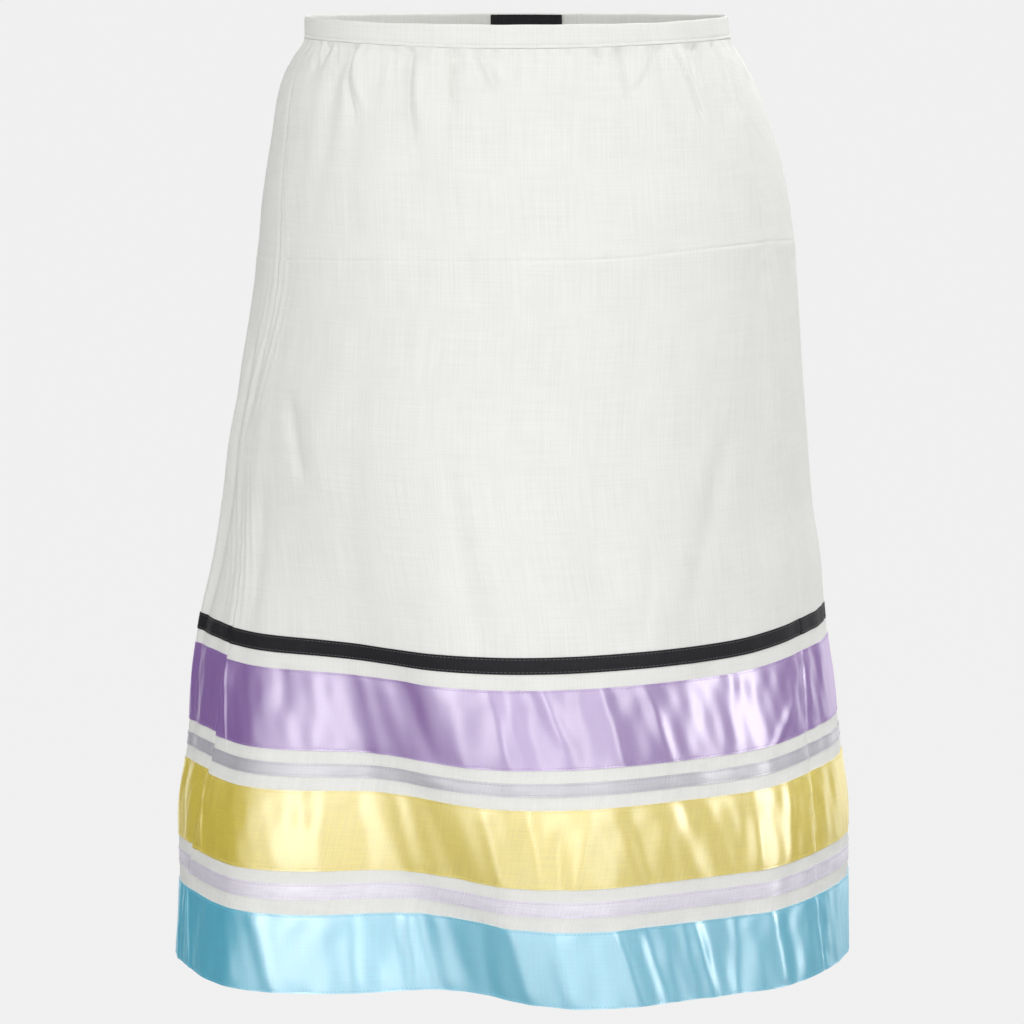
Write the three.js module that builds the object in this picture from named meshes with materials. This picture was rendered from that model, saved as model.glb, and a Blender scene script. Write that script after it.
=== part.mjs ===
// A knee-length A-line skirt in off-white linen with six sewn-on ribbons, filled out as when it is worn.
//
// Sizes are in millimetres and angles in degrees. +Z is up, the front faces -Y, and +X is to the right of someone
// who looks at the front. The origin is the middle of the waist opening, level with the waistband's top edge.
//
// All the cloth lies on one form. A point of the form has an angle round the body, 0 at the centre front and
// growing towards +X, and a level, the distance down the cloth from the waistband's top edge. The panels' outer
// faces are the form itself. Whatever lies on them is made from the same points, moved out along the normals.

import * as THREE from 'three';

// ---- Driving sizes ----
const LENGTH = 615;            // waistband's top edge to hem
const BAND_HEIGHT = 13;
const SEAM_GAP = 0.3;          // between two pieces of cloth that are sewn to each other
const LINEN_WALL = 1.3;
const BAND_PROUD = 0.6;        // how far the folded band stands out of the panels' face
const BAND_WALL = 2.4;
const RIBBON_WALL = 1;
const LABEL_WIDTH = 48;
const LABEL_ASIDE = 7;         // the label's middle, to the right of the centre back
const LABEL_TOP = 0.8;         // below the band's top edge
const LABEL_HEIGHT = 11.5;
const LABEL_WALL = 1;

// Columns of facets across each piece
const FRONT_COLUMNS = 46;
const BACK_COLUMNS = 56;
const LABEL_COLUMNS = 8;

// The form's half-sizes at each drop below the waist, to the left, right, front and back of the middle. A pinch of 1
// rounds that side as an ellipse is rounded, and a larger one brings it nearer to an edge.
const SECTIONS = [
  { drop: 0, left: 136, right: 136, front: 93, back: 94, pinchLeft: 1, pinchRight: 1 },
  { drop: 13, left: 137, right: 139, front: 95, back: 97, pinchLeft: 1, pinchRight: 1 },
  { drop: 24, left: 144.5, right: 146, front: 98, back: 103, pinchLeft: 1, pinchRight: 1 },
  { drop: 38, left: 151.5, right: 153.5, front: 102, back: 110, pinchLeft: 1.05, pinchRight: 1 },
  { drop: 77, left: 158.5, right: 168, front: 112, back: 126, pinchLeft: 1.1, pinchRight: 1.05 },
  { drop: 116, left: 164.5, right: 177, front: 122, back: 140, pinchLeft: 1.15, pinchRight: 1.1 },
  { drop: 155, left: 168, right: 181.5, front: 131, back: 148, pinchLeft: 1.2, pinchRight: 1.15 },
  { drop: 234, left: 180, right: 187, front: 143, back: 156, pinchLeft: 1.3, pinchRight: 1.2 },
  { drop: 273, left: 187, right: 190, front: 149, back: 158, pinchLeft: 1.35, pinchRight: 1.25 },
  { drop: 312, left: 191, right: 193, front: 155, back: 160, pinchLeft: 1.4, pinchRight: 1.3 },
  { drop: 352, left: 197, right: 199, front: 161, back: 163, pinchLeft: 1.45, pinchRight: 1.35 },
  { drop: 391, left: 206, right: 202, front: 166, back: 167, pinchLeft: 1.5, pinchRight: 1.35 },
  { drop: 431, left: 211, right: 207, front: 168, back: 171, pinchLeft: 1.45, pinchRight: 1.3 },
  { drop: 471, left: 214, right: 212, front: 169, back: 174, pinchLeft: 1.4, pinchRight: 1.2 },
  { drop: 511, left: 220, right: 217, front: 170, back: 177, pinchLeft: 1.3, pinchRight: 1.1 },
  { drop: 563, left: 221, right: 218, front: 167, back: 180, pinchLeft: 1.25, pinchRight: 1.05 },
  { drop: 625, left: 224, right: 219, front: 161, back: 182, pinchLeft: 1.2, pinchRight: 1 },
];

// How much higher than its level the cloth hangs at the centre front, at each side and at the centre back
const HANG = [
  { level: 0, front: -0.2, left: 2.2, right: 2.2, back: 0.7 },
  { level: 13, front: -2.4, left: 1, right: 1, back: 0 },
  { level: 60, front: -2, left: 1, right: 1, back: 0 },
  { level: 165, front: -1, left: 3, right: 4, back: 0 },
  { level: 394, front: 0, left: 6, right: 12, back: 3 },
  { level: 615, front: 0, left: 3.5, right: 6, back: 2 },
];

// The side seams' angles from the centre front: both sit a little forward of the side and wander a little
const SEAMS = [
  { level: 0, left: -72, right: 66 },
  { level: 77, left: -69, right: 63 },
  { level: 165, left: -65, right: 62 },
  { level: 273, left: -71, right: 64 },
  { level: 394, left: -63, right: 65 },
  { level: 472, left: -68, right: 63 },
  { level: 554, left: -73, right: 62 },
  { level: 615, left: -75, right: 65 },
];

// Hem flutes: the angle at the hem, how far the flute swings round between the first ribbon and the hem, how far
// the cloth stands out at the hem (less than 0 is a hollow), how far it is lifted there, and the half-width
const FLUTES = [
  { angle: -11, swing: 25, out: -30, lift: 5, width: 16 },
  { angle: 7, swing: 5, out: 16, lift: -3, width: 20 },
  { angle: -51, swing: 0, out: 12, lift: -2.5, width: 17 },
  { angle: 36, swing: -6, out: -4, lift: -1.5, width: 11 },
  { angle: 50, swing: 3, out: 5, lift: -1.5, width: 11 },
  { angle: 112, swing: -5, out: -10, lift: 1, width: 12 },
  { angle: 133, swing: -8, out: 12, lift: -2, width: 14 },
  { angle: 157, swing: 6, out: -20, lift: 3, width: 15 },
  { angle: 183, swing: -4, out: 14, lift: -3, width: 17 },
  { angle: 211, swing: 10, out: -18, lift: 3, width: 14 },
  { angle: 232, swing: 5, out: 11, lift: -1, width: 13 },
  { angle: 250, swing: -3, out: -8, lift: 1, width: 11 },
];
const FLUTE_START = 235;       // the level where the flutes begin to grow
const FLUTE_GROWTH = 1.2;

const GATHER_OPENING = 8;      // from the waistband's lower edge to where the gathers are fully open

// Gathers under the waistband: soft folds that fade down the cloth, a hollow where `out` is less than 0
const GATHERS = [
  { angle: -60, length: 22, out: -2.2, width: 2.6 },
  { angle: -50, length: 75, out: -2.6, width: 2.8 },
  { angle: -44, length: 40, out: 1.6, width: 2.6 },
  { angle: -36, length: 34, out: -2.4, width: 2.6 },
  { angle: -29, length: 60, out: -3.2, width: 2.8 },
  { angle: -23, length: 34, out: 1.8, width: 2.6 },
  { angle: -16, length: 44, out: -3.0, width: 2.7 },
  { angle: -7, length: 30, out: -2.2, width: 2.6 },
  { angle: 22, length: 16, out: -1.6, width: 2.6 },
  { angle: 29, length: 34, out: -2.6, width: 2.7 },
  { angle: 39, length: 32, out: -2.4, width: 2.6 },
  { angle: 46, length: 30, out: 1.8, width: 2.6 },
  { angle: 54, length: 52, out: -3.0, width: 2.8 },
  { angle: 86, length: 34, out: -2.4, width: 4 },
  { angle: 101, length: 52, out: -2.8, width: 4 },
  { angle: 117, length: 30, out: -2.2, width: 4 },
  { angle: 133, length: 60, out: -3.0, width: 4 },
  { angle: 148, length: 36, out: -2.6, width: 4 },
  { angle: 163, length: 44, out: 1.8, width: 4 },
  { angle: 177, length: 26, out: -2.0, width: 4 },
  { angle: 196, length: 48, out: -2.8, width: 4 },
  { angle: 211, length: 34, out: -2.4, width: 4 },
  { angle: 227, length: 62, out: -3.0, width: 4 },
  { angle: 243, length: 38, out: -2.4, width: 4 },
  { angle: 259, length: 50, out: -2.8, width: 4 },
  { angle: 272, length: 30, out: -2.0, width: 4 },
];

// The ribbons from the top down: each one's width, and the bare linen below it. The last one ends at the hem.
const RIBBONS = [
  { name: 'black_ribbon', width: 10.5, bare: 10, material: 'grosgrain' },
  { name: 'purple_ribbon', width: 50, bare: 8, material: 'purpleSatin' },
  { name: 'grey_ribbon', width: 8.5, bare: 8.5, material: 'greySatin' },
  { name: 'yellow_ribbon', width: 50, bare: 8, material: 'yellowSatin' },
  { name: 'lilac_ribbon', width: 10, bare: 9.5, material: 'lilacSatin' },
  { name: 'blue_ribbon', width: 50, bare: 0, material: 'blueSatin' },
];

// Levels of the panels' rows of facets between the waistband and the first ribbon
const UPPER_ROWS = [21, 30, 48, 78, 116, 160, 212, 268, 330];

// ---- Materials ----
const cloth = (color, roughness) => new THREE.MeshStandardMaterial({ color, roughness, metalness: 0 });

const MATERIALS = {
  linen: cloth('#efefec', 0.9),
  grosgrain: cloth('#232024', 0.8),
  purpleSatin: cloth('#a986cf', 0.3),
  greySatin: cloth('#b3b3bf', 0.35),
  yellowSatin: cloth('#d8cb5c', 0.3),
  lilacSatin: cloth('#d5cce2', 0.35),
  blueSatin: cloth('#6cc5dd', 0.3),
  labelTape: cloth('#17171a', 0.85),
};

// ---- The form ----

/** A function that smoothly interpolates the rows of a table, each column of which is a number by `key`. */
function tableLookup(rows, key) {
  const columns = Object.keys(rows[0]).filter((column) => column !== key);
  const positions = rows.map((row) => row[key]);
  const values = rows.flatMap((row) => columns.map((column) => row[column]));
  const curve = new THREE.CubicInterpolant(positions, values, columns.length);
  return (at) => {
    const clamped = THREE.MathUtils.clamp(at, positions[0], positions[positions.length - 1]);
    const found = curve.evaluate(clamped);
    return Object.fromEntries(columns.map((column, index) => [column, found[index]]));
  };
}

const sectionAt = tableLookup(SECTIONS, 'drop');
const hangAt = tableLookup(HANG, 'level');
const seamsAt = tableLookup(SEAMS, 'level');

const ribbonsTotal = RIBBONS.reduce((sum, ribbon) => sum + ribbon.width + ribbon.bare, 0);
const firstRibbonLevel = LENGTH - ribbonsTotal;

/** How near `angle` is to `centre`: 1 at the centre, falling smoothly to 0 past `width` degrees either side. */
function bump(angle, centre, width) {
  const turns = (angle - centre) / 360;
  const away = (turns - Math.round(turns)) * 360;
  return Math.exp(-((away / width) ** 2));
}

/** How far all the flutes together move the form out and lift it. */
function fluteShift(angle, level) {
  const growth = Math.max(0, (level - FLUTE_START) / (LENGTH - FLUTE_START)) ** FLUTE_GROWTH;
  const aboveHem = (LENGTH - level) / (LENGTH - firstRibbonLevel);
  const shift = { out: 0, lift: 0 };
  for (const flute of FLUTES) {
    const strength = growth * bump(angle, flute.angle - flute.swing * aboveHem, flute.width);
    shift.out += flute.out * strength;
    shift.lift += flute.lift * strength;
  }
  return shift;
}

/** How far all the gathers together move the form out: they open just below the band and fade down the cloth. */
function gatherShift(angle, level) {
  const opening = THREE.MathUtils.smoothstep(level, BAND_HEIGHT, BAND_HEIGHT + GATHER_OPENING);
  let out = 0;
  for (const gather of GATHERS) {
    const fade = Math.exp(-(((level - BAND_HEIGHT) / gather.length) ** 2));
    out += gather.out * bump(angle, gather.angle, gather.width) * fade;
  }
  return out * opening;
}

/** How much higher than its level the cloth hangs at an angle. */
function hangShift(angle, level) {
  const hang = hangAt(level);
  const forward = Math.cos(THREE.MathUtils.degToRad(angle));
  const sideways = Math.sin(THREE.MathUtils.degToRad(angle));
  const atSide = (sideways < 0 ? hang.left : hang.right) * sideways ** 4;
  const atMiddle = (forward > 0 ? hang.front : hang.back) * forward ** 4;
  return atSide + atMiddle;
}

/** The form's point before it is gathered, moved `gathersOut` away from the middle. */
function ungatheredPoint(angle, level, gathersOut = 0) {
  const flute = fluteShift(angle, level);
  const out = flute.out + gathersOut;
  const drop = level - hangShift(angle, level) - flute.lift;
  const section = sectionAt(drop);
  const forward = Math.cos(THREE.MathUtils.degToRad(angle));
  const sideways = Math.sin(THREE.MathUtils.degToRad(angle));
  const [halfWidth, pinch] = sideways < 0
    ? [section.left, section.pinchLeft]
    : [section.right, section.pinchRight];
  const halfDepth = (forward > 0 ? section.front : section.back) * Math.abs(forward) ** (pinch - 1);
  return new THREE.Vector3((halfWidth + out) * sideways, -(halfDepth + out) * forward, -drop);
}

/** The form's point at an angle round the body and a level down the cloth. */
function formPoint(angle, level) {
  return ungatheredPoint(angle, level, gatherShift(angle, level));
}

/** The form's outward normal, taken without its gathers, so that seam edges stay square to the cloth. */
function formNormal(angle, level) {
  const step = 0.5;
  const across = ungatheredPoint(angle + step, level).sub(ungatheredPoint(angle - step, level));
  const down = ungatheredPoint(angle, level + step).sub(ungatheredPoint(angle, level - step));
  return down.cross(across).normalize();
}

/** The form's point moved `out` along its normal. */
function raisedPoint(angle, level, out) {
  return formPoint(angle, level).addScaledVector(formNormal(angle, level), out);
}

// ---- Closed cloth walls on the form ----

/**
 * A closed wall between two distances from the form. `angleAt(column, level)` gives each column's angle,
 * `levels` the rows from the top down, and `ring` says that the last column meets the first.
 */
function clothWall(columns, levels, angleAt, inner, outer, ring = false) {
  const columnCount = ring ? columns : columns + 1;
  const rowCount = levels.length;
  const positions = [];
  const indices = [];

  for (const distance of [outer, inner]) {
    for (let column = 0; column < columnCount; column += 1) {
      for (const level of levels) {
        positions.push(...raisedPoint(angleAt(column, level), level, distance));
      }
    }
  }

  const outerPoint = (column, row) => (column % columnCount) * rowCount + row;
  const innerPoint = (column, row) => outerPoint(column, row) + columnCount * rowCount;
  const quad = (a, b, c, d) => indices.push(a, b, c, a, c, d);

  for (let column = 0; column < columns; column += 1) {
    const next = column + 1;
    for (let row = 0; row < rowCount - 1; row += 1) {
      quad(outerPoint(column, row), outerPoint(column, row + 1), outerPoint(next, row + 1), outerPoint(next, row));
      indices.push(innerPoint(column, row), innerPoint(next, row + 1), innerPoint(column, row + 1));
      indices.push(innerPoint(column, row), innerPoint(next, row), innerPoint(next, row + 1));
    }
    const last = rowCount - 1;
    quad(innerPoint(column, 0), outerPoint(column, 0), outerPoint(next, 0), innerPoint(next, 0));
    quad(outerPoint(column, last), innerPoint(column, last), innerPoint(next, last), outerPoint(next, last));
  }

  if (!ring) {
    for (let row = 0; row < rowCount - 1; row += 1) {
      quad(outerPoint(0, row), innerPoint(0, row), innerPoint(0, row + 1), outerPoint(0, row + 1));
      quad(
        innerPoint(columns, row),
        outerPoint(columns, row),
        outerPoint(columns, row + 1),
        innerPoint(columns, row + 1),
      );
    }
  }

  const geometry = new THREE.BufferGeometry();
  geometry.setAttribute('position', new THREE.Float32BufferAttribute(positions, 3));
  geometry.setIndex(indices);
  geometry.computeVertexNormals();
  return geometry;
}

/** How far along the cloth one degree reaches at a place on the form. */
function arcOfOneDegree(angle, level) {
  return formPoint(angle + 0.5, level).distanceTo(formPoint(angle - 0.5, level));
}

/** The angle of a column between two seam angles, clear of each by half a seam gap. */
function angleBetweenSeams(start, end, column, columns, level) {
  const clearStart = start + SEAM_GAP / 2 / arcOfOneDegree(start, level);
  const clearEnd = end - SEAM_GAP / 2 / arcOfOneDegree(end, level);
  return THREE.MathUtils.lerp(clearStart, clearEnd, column / columns);
}

const SIDES = [
  {
    name: 'front',
    columns: FRONT_COLUMNS,
    angleAt: (column, level) => {
      const seams = seamsAt(level);
      return angleBetweenSeams(seams.left, seams.right, column, FRONT_COLUMNS, level);
    },
  },
  {
    name: 'back',
    columns: BACK_COLUMNS,
    angleAt: (column, level) => {
      const seams = seamsAt(level);
      return angleBetweenSeams(seams.right, seams.left + 360, column, BACK_COLUMNS, level);
    },
  },
];

// ---- Pieces ----
const skirt = new THREE.Group();

/** Adds a named piece of cloth to the skirt. */
function addPiece(name, geometry, material) {
  const mesh = new THREE.Mesh(geometry, material);
  mesh.name = name;
  skirt.add(mesh);
}

/** Each ribbon's top and bottom level, worked out from the hem. */
function ribbonLevels() {
  let top = firstRibbonLevel;
  return RIBBONS.map((ribbon) => {
    const span = { ...ribbon, top, bottom: top + ribbon.width };
    top = span.bottom + ribbon.bare;
    return span;
  });
}

/** The waistband: a folded strip closed into a ring. */
function addWaistband() {
  const columns = FRONT_COLUMNS + BACK_COLUMNS;
  const angleAt = (column, level) => {
    const inFront = column < FRONT_COLUMNS;
    const side = SIDES[inFront ? 0 : 1];
    const seams = seamsAt(level);
    const [start, end] = inFront ? [seams.left, seams.right] : [seams.right, seams.left + 360];
    const local = inFront ? column : column - FRONT_COLUMNS;
    return THREE.MathUtils.lerp(start, end, local / side.columns);
  };
  const levels = [0, BAND_HEIGHT];
  const geometry = clothWall(columns, levels, angleAt, BAND_PROUD - BAND_WALL, BAND_PROUD, true);
  addPiece('waistband', geometry, MATERIALS.linen);
}

/** The front and back panels, from just below the band to the hem. */
function addPanels(ribbons) {
  const levels = [
    BAND_HEIGHT + SEAM_GAP,
    ...UPPER_ROWS,
    ...ribbons.flatMap((ribbon) => [ribbon.top, ribbon.bottom]),
  ];
  for (const side of SIDES) {
    const geometry = clothWall(side.columns, levels, side.angleAt, -LINEN_WALL, 0);
    addPiece(`${side.name}_panel`, geometry, MATERIALS.linen);
  }
}

/** The ribbons' front and back lengths, each on its panel. */
function addRibbons(ribbons) {
  for (const ribbon of ribbons) {
    const levels = [ribbon.top, ribbon.bottom];
    for (const side of SIDES) {
      const geometry = clothWall(side.columns, levels, side.angleAt, SEAM_GAP, SEAM_GAP + RIBBON_WALL);
      addPiece(`${ribbon.name}_${side.name}`, geometry, MATERIALS[ribbon.material]);
    }
  }
}

/** The bare label inside the centre back of the waistband. */
function addLabel() {
  const centreBack = 180;
  const oneDegree = arcOfOneDegree(centreBack, LABEL_TOP + LABEL_HEIGHT / 2);
  const centre = centreBack - LABEL_ASIDE / oneDegree;
  const span = LABEL_WIDTH / oneDegree;
  const angleAt = (column) => centre + span * (column / LABEL_COLUMNS - 0.5);
  const outer = BAND_PROUD - BAND_WALL - SEAM_GAP;
  const levels = [LABEL_TOP, LABEL_TOP + LABEL_HEIGHT];
  const geometry = clothWall(LABEL_COLUMNS, levels, angleAt, outer - LABEL_WALL, outer);
  addPiece('label', geometry, MATERIALS.labelTape);
}

const ribbons = ribbonLevels();
addWaistband();
addPanels(ribbons);
addRibbons(ribbons);
addLabel();

export default skirt;
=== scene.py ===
"""The looks of a knee-length A-line skirt in off-white linen with six sewn-on ribbons, filled out as worn.

Blender's sizes are in metres. The tables and the form are in millimetres and degrees, as a pattern cutter
writes them. A place on the cloth has an angle round the body, 0 at the centre front and growing towards +X,
and a level, the distance down the cloth from the waistband's top edge. Every piece is made from the same
form, moved out along its normals.
"""

import logging
import math
from dataclasses import dataclass, field
from enum import Enum
from typing import Sequence

import bpy
import numpy as np
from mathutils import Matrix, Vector


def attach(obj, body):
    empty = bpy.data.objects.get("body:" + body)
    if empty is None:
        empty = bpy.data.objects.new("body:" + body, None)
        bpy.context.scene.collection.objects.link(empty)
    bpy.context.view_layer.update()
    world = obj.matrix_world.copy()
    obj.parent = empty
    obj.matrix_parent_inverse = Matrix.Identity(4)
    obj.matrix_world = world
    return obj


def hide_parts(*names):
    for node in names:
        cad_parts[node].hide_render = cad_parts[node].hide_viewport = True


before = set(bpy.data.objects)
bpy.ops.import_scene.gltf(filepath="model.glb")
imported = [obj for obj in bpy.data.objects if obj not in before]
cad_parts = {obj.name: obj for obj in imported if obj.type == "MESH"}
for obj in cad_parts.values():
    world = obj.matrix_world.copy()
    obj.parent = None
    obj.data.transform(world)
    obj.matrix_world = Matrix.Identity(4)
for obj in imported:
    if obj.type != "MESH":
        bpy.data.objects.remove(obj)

LOG = logging.getLogger("skirt")

MM = 0.001
CLOTH_MAP = "cloth"      # the UV map that holds each point's place on the flat cloth, in metres
BODY = "root"
RIM_ANGLE = math.radians(62)      # edges that turn more than this stay crisp


# ---- The form of the cloth ----


class SmoothTable:
    """Rows of numbers that are smoothly interpolated by their first column."""

    def __init__(self, rows: Sequence[Sequence[float]]) -> None:
        """Keeps the rows.

        Args:
            rows: The table, each row led by the place it holds for, in rising order.
        """
        data = np.array(rows, float)
        self.places = data[:, 0]
        self.values = data[:, 1:]

    def at(self, where: np.ndarray) -> np.ndarray:
        """Finds the row at each place.

        Args:
            where: Places of any shape. Those past the table's ends take its end rows.

        Returns:
            An array with one more axis than the places, for the columns after the first.
        """
        where = np.clip(np.asarray(where, float), self.places[0], self.places[-1])
        last = len(self.places) - 1
        after = np.clip(np.searchsorted(self.places, where, side="right"), 1, last)
        start, end = self.places[after - 1], self.places[after]
        before = np.where(after >= 2, after - 2, after)
        beyond = np.where(after < last, after + 1, after - 1)
        half = (end - start) / 2
        pull = (half / (start - self.places[before]))[..., None]
        push = (half / (self.places[beyond] - end))[..., None]
        t = ((where - start) / (end - start))[..., None]
        return (
            (-pull * t**3 + 2 * pull * t**2 - pull * t) * self.values[before]
            + ((1 + pull) * t**3 + (-1.5 - 2 * pull) * t**2 + (-0.5 + pull) * t + 1) * self.values[after - 1]
            + ((-1 - push) * t**3 + (1.5 + push) * t**2 + 0.5 * t) * self.values[after]
            + (push * t**3 - push * t**2) * self.values[beyond]
        )


def turn_between(angle: np.ndarray, centre: np.ndarray) -> np.ndarray:
    """How far round `angle` is from `centre`, from -180 to 180 degrees."""
    turns = (angle - centre) / 360
    return (turns - np.round(turns)) * 360


def soft_step(value: np.ndarray, start: float, end: float) -> np.ndarray:
    """A smooth rise from 0 at `start` to 1 at `end`."""
    t = np.clip((value - start) / (end - start), 0, 1)
    return t * t * (3 - 2 * t)


def hump(away: np.ndarray, width: float) -> np.ndarray:
    """1 where `away` is 0, falling smoothly to 0 past `width` either side."""
    return np.exp(-((away / width) ** 2))


@dataclass(frozen=True)
class Flute:
    """A flute that grows towards the hem."""

    angle: float     # at the hem
    swing: float     # how far round it leans from the first ribbon down
    out: float
    lift: float
    width: float     # half of it


@dataclass(frozen=True)
class Gather:
    """A gather under the waistband."""

    angle: float
    length: float    # how far below the band it fades
    out: float
    width: float     # half of it


@dataclass(frozen=True)
class Fold:
    """A soft ridge that runs down the cloth, or a trough where the rise is less than 0."""

    top_angle: float
    top_level: float
    bottom_angle: float
    bottom_level: float
    width: float
    rise: float

    def relief(self, angle: np.ndarray, level: np.ndarray, per_degree: np.ndarray) -> np.ndarray:
        """How far the fold moves the cloth out.

        Args:
            angle: Angles of the places, in degrees.
            level: Levels of the places.
            per_degree: How far one degree reaches there, in millimetres.

        Returns:
            The rise in millimetres, of the same shape.
        """
        t = (level - self.top_level) / (self.bottom_level - self.top_level)
        line = self.top_angle + np.clip(t, -0.2, 1.2) * (self.bottom_angle - self.top_angle)
        fade = soft_step(t, -0.12, 0.22) * soft_step(t, 1.12, 0.78)
        return self.rise * hump(turn_between(angle, line) * per_degree, self.width) * fade


@dataclass(frozen=True)
class Crease:
    """A soft line that runs round the cloth between two places."""

    start_angle: float
    start_level: float
    end_angle: float
    end_level: float
    width: float
    rise: float

    def relief(self, angle: np.ndarray, level: np.ndarray) -> np.ndarray:
        """How far the crease moves the cloth out, in millimetres.

        Args:
            angle: Angles of the places, in degrees.
            level: Levels of the places.

        Returns:
            The rise in millimetres, of the same shape.
        """
        reach = self.end_angle - self.start_angle
        t = (turn_between(angle, self.start_angle + reach / 2) + reach / 2) / reach
        line = self.start_level + np.clip(t, 0, 1) * (self.end_level - self.start_level)
        fade = soft_step(t, -0.05, 0.3) * soft_step(t, 1.05, 0.7)
        return self.rise * hump(level - line, self.width) * fade


SECTIONS = SmoothTable([
    # drop, left, right, front, back, pinch left, pinch right
    (0, 136, 136, 93, 94, 1, 1),
    (13, 137, 139, 95, 97, 1, 1),
    (24, 144.5, 146, 98, 103, 1, 1),
    (38, 151.5, 153.5, 102, 110, 1.05, 1),
    (77, 158.5, 168, 112, 126, 1.1, 1.05),
    (116, 164.5, 177, 122, 140, 1.15, 1.1),
    (155, 168, 181.5, 131, 148, 1.2, 1.15),
    (234, 180, 187, 143, 156, 1.3, 1.2),
    (273, 187, 190, 149, 158, 1.35, 1.25),
    (312, 191, 193, 155, 160, 1.4, 1.3),
    (352, 197, 199, 161, 163, 1.45, 1.35),
    (391, 206, 202, 166, 167, 1.5, 1.35),
    (431, 211, 207, 168, 171, 1.45, 1.3),
    (471, 214, 212, 169, 174, 1.4, 1.2),
    (511, 220, 217, 170, 177, 1.3, 1.1),
    (563, 221, 218, 167, 180, 1.25, 1.05),
    (625, 224, 219, 161, 182, 1.2, 1),
])

HANG = SmoothTable([
    # level, front, left, right, back
    (0, -0.2, 2.2, 2.2, 0.7),
    (13, -2.4, 1, 1, 0),
    (60, -2, 1, 1, 0),
    (165, -1, 3, 4, 0),
    (394, 0, 6, 12, 3),
    (615, 0, 3.5, 6, 2),
])

SEAMS = SmoothTable([
    # level, left, right
    (0, -72, 66),
    (77, -69, 63),
    (165, -65, 62),
    (273, -70, 64),
    (394, -62, 65),
    (440, -63, 64),
    (487, -65.5, 62.5),
    (535, -69.5, 62),
    (565, -73.5, 62.3),
    (615, -75, 65),
])

FLUTES = (
    Flute(-11, 25, -30, 5, 16),
    Flute(7, 5, 16, -3, 20),
    Flute(-51, 0, 12, -2.5, 17),
    Flute(36, -6, -4, -1.5, 11),
    Flute(50, 3, 5, -1.5, 11),
    Flute(112, -5, -10, 1, 12),
    Flute(133, -8, 12, -2, 14),
    Flute(157, 6, -20, 3, 15),
    Flute(183, -4, 14, -3, 17),
    Flute(211, 10, -18, 3, 14),
    Flute(232, 5, 11, -1, 13),
    Flute(250, -3, -8, 1, 11),
)

GATHERS = (
    Gather(-60, 22, -2.2, 2.6),
    Gather(-50, 75, -2.6, 2.8),
    Gather(-44, 40, 1.6, 2.6),
    Gather(-36, 34, -2.4, 2.6),
    Gather(-29, 60, -3.2, 2.8),
    Gather(-23, 34, 1.8, 2.6),
    Gather(-16, 44, -3.0, 2.7),
    Gather(-7, 30, -2.2, 2.6),
    Gather(22, 16, -1.6, 2.6),
    Gather(29, 34, -2.6, 2.7),
    Gather(39, 32, -2.4, 2.6),
    Gather(46, 30, 1.8, 2.6),
    Gather(54, 52, -3.0, 2.8),
    Gather(86, 34, -2.4, 4),
    Gather(101, 52, -2.8, 4),
    Gather(117, 30, -2.2, 4),
    Gather(133, 60, -3.0, 4),
    Gather(148, 36, -2.6, 4),
    Gather(163, 44, 1.8, 4),
    Gather(177, 26, -2.0, 4),
    Gather(196, 48, -2.8, 4),
    Gather(211, 34, -2.4, 4),
    Gather(227, 62, -3.0, 4),
    Gather(243, 38, -2.4, 4),
    Gather(259, 50, -2.8, 4),
    Gather(272, 30, -2.0, 4),
)

# The line where the skirt was folded in half for storage: angle, level
STORAGE_LINE = SmoothTable([
    (-95, 155),
    (-67, 154),
    (-25, 147.5),
    (-1, 146),
    (20, 145.5),
    (41, 142.5),
    (66, 143),
    (89, 147),
    (140, 152),
    (200, 150),
    (265, 155),
])

# Folds and troughs: angle and level at the top, the same at the bottom, half-width, rise
GATHER_FOLDS = (
    # at the waistband, front
    Fold(-67, 13, -61, 30, 1.8, -0.9),
    Fold(-62.5, 13, -58, 28, 1.5, -0.7),
    Fold(-57, 13, -52.5, 27, 1.5, -0.8),
    Fold(-49, 13, -41, 62, 2.1, -0.9),
    Fold(-46, 15, -39, 52, 2.8, 0.7),
    Fold(-34, 13, -31, 40, 2, -0.9),
    Fold(-29, 13, -25, 74, 2.8, -1.1),
    Fold(-26, 18, -22.5, 66, 3.3, 0.6),
    Fold(-16.8, 13, -15, 50, 2.3, -1.2),
    Fold(-10.5, 13, -5.5, 38, 2.5, -1.1),
    Fold(-8, 14, -3, 34, 2, 0.6),
    Fold(4, 13, 5, 24, 1.6, -0.4),
    Fold(13, 13, 13.5, 22, 1.6, -0.35),
    Fold(21.5, 13, 21, 26, 1.6, -0.8),
    Fold(27.4, 13, 26.6, 47, 2.1, -1.1),
    Fold(37.4, 20, 29, 42, 2, -0.8),
    Fold(45, 13, 47, 62, 2.1, -1.0),
    Fold(52, 14, 48, 32, 1.6, -0.7),
    Fold(56, 13, 49.5, 40, 2.1, -0.8),
    Fold(64, 13, 58, 62, 2.5, -1.0),
    Fold(70, 24, 63, 60, 2, -0.7),
    # the same at the back
    Fold(79, 13, 77, 44, 2.5, -0.9),
    Fold(92, 13, 93, 34, 2, -0.8),
    Fold(108, 13, 106, 56, 2.6, -1.0),
    Fold(124, 13, 126, 40, 2.1, -0.8),
    Fold(141, 13, 139, 62, 2.8, -1.1),
    Fold(156, 13, 157, 32, 2, -0.8),
    Fold(170, 13, 169, 50, 2.5, -0.9),
    Fold(186, 13, 187, 36, 2.1, -0.9),
    Fold(203, 13, 201, 64, 2.8, -1.1),
    Fold(219, 13, 221, 42, 2.1, -0.8),
    Fold(236, 13, 234, 52, 2.5, -1.0),
    Fold(251, 13, 253, 36, 2.1, -0.8),
    Fold(266, 13, 264, 48, 2.3, -0.9),
)

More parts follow.
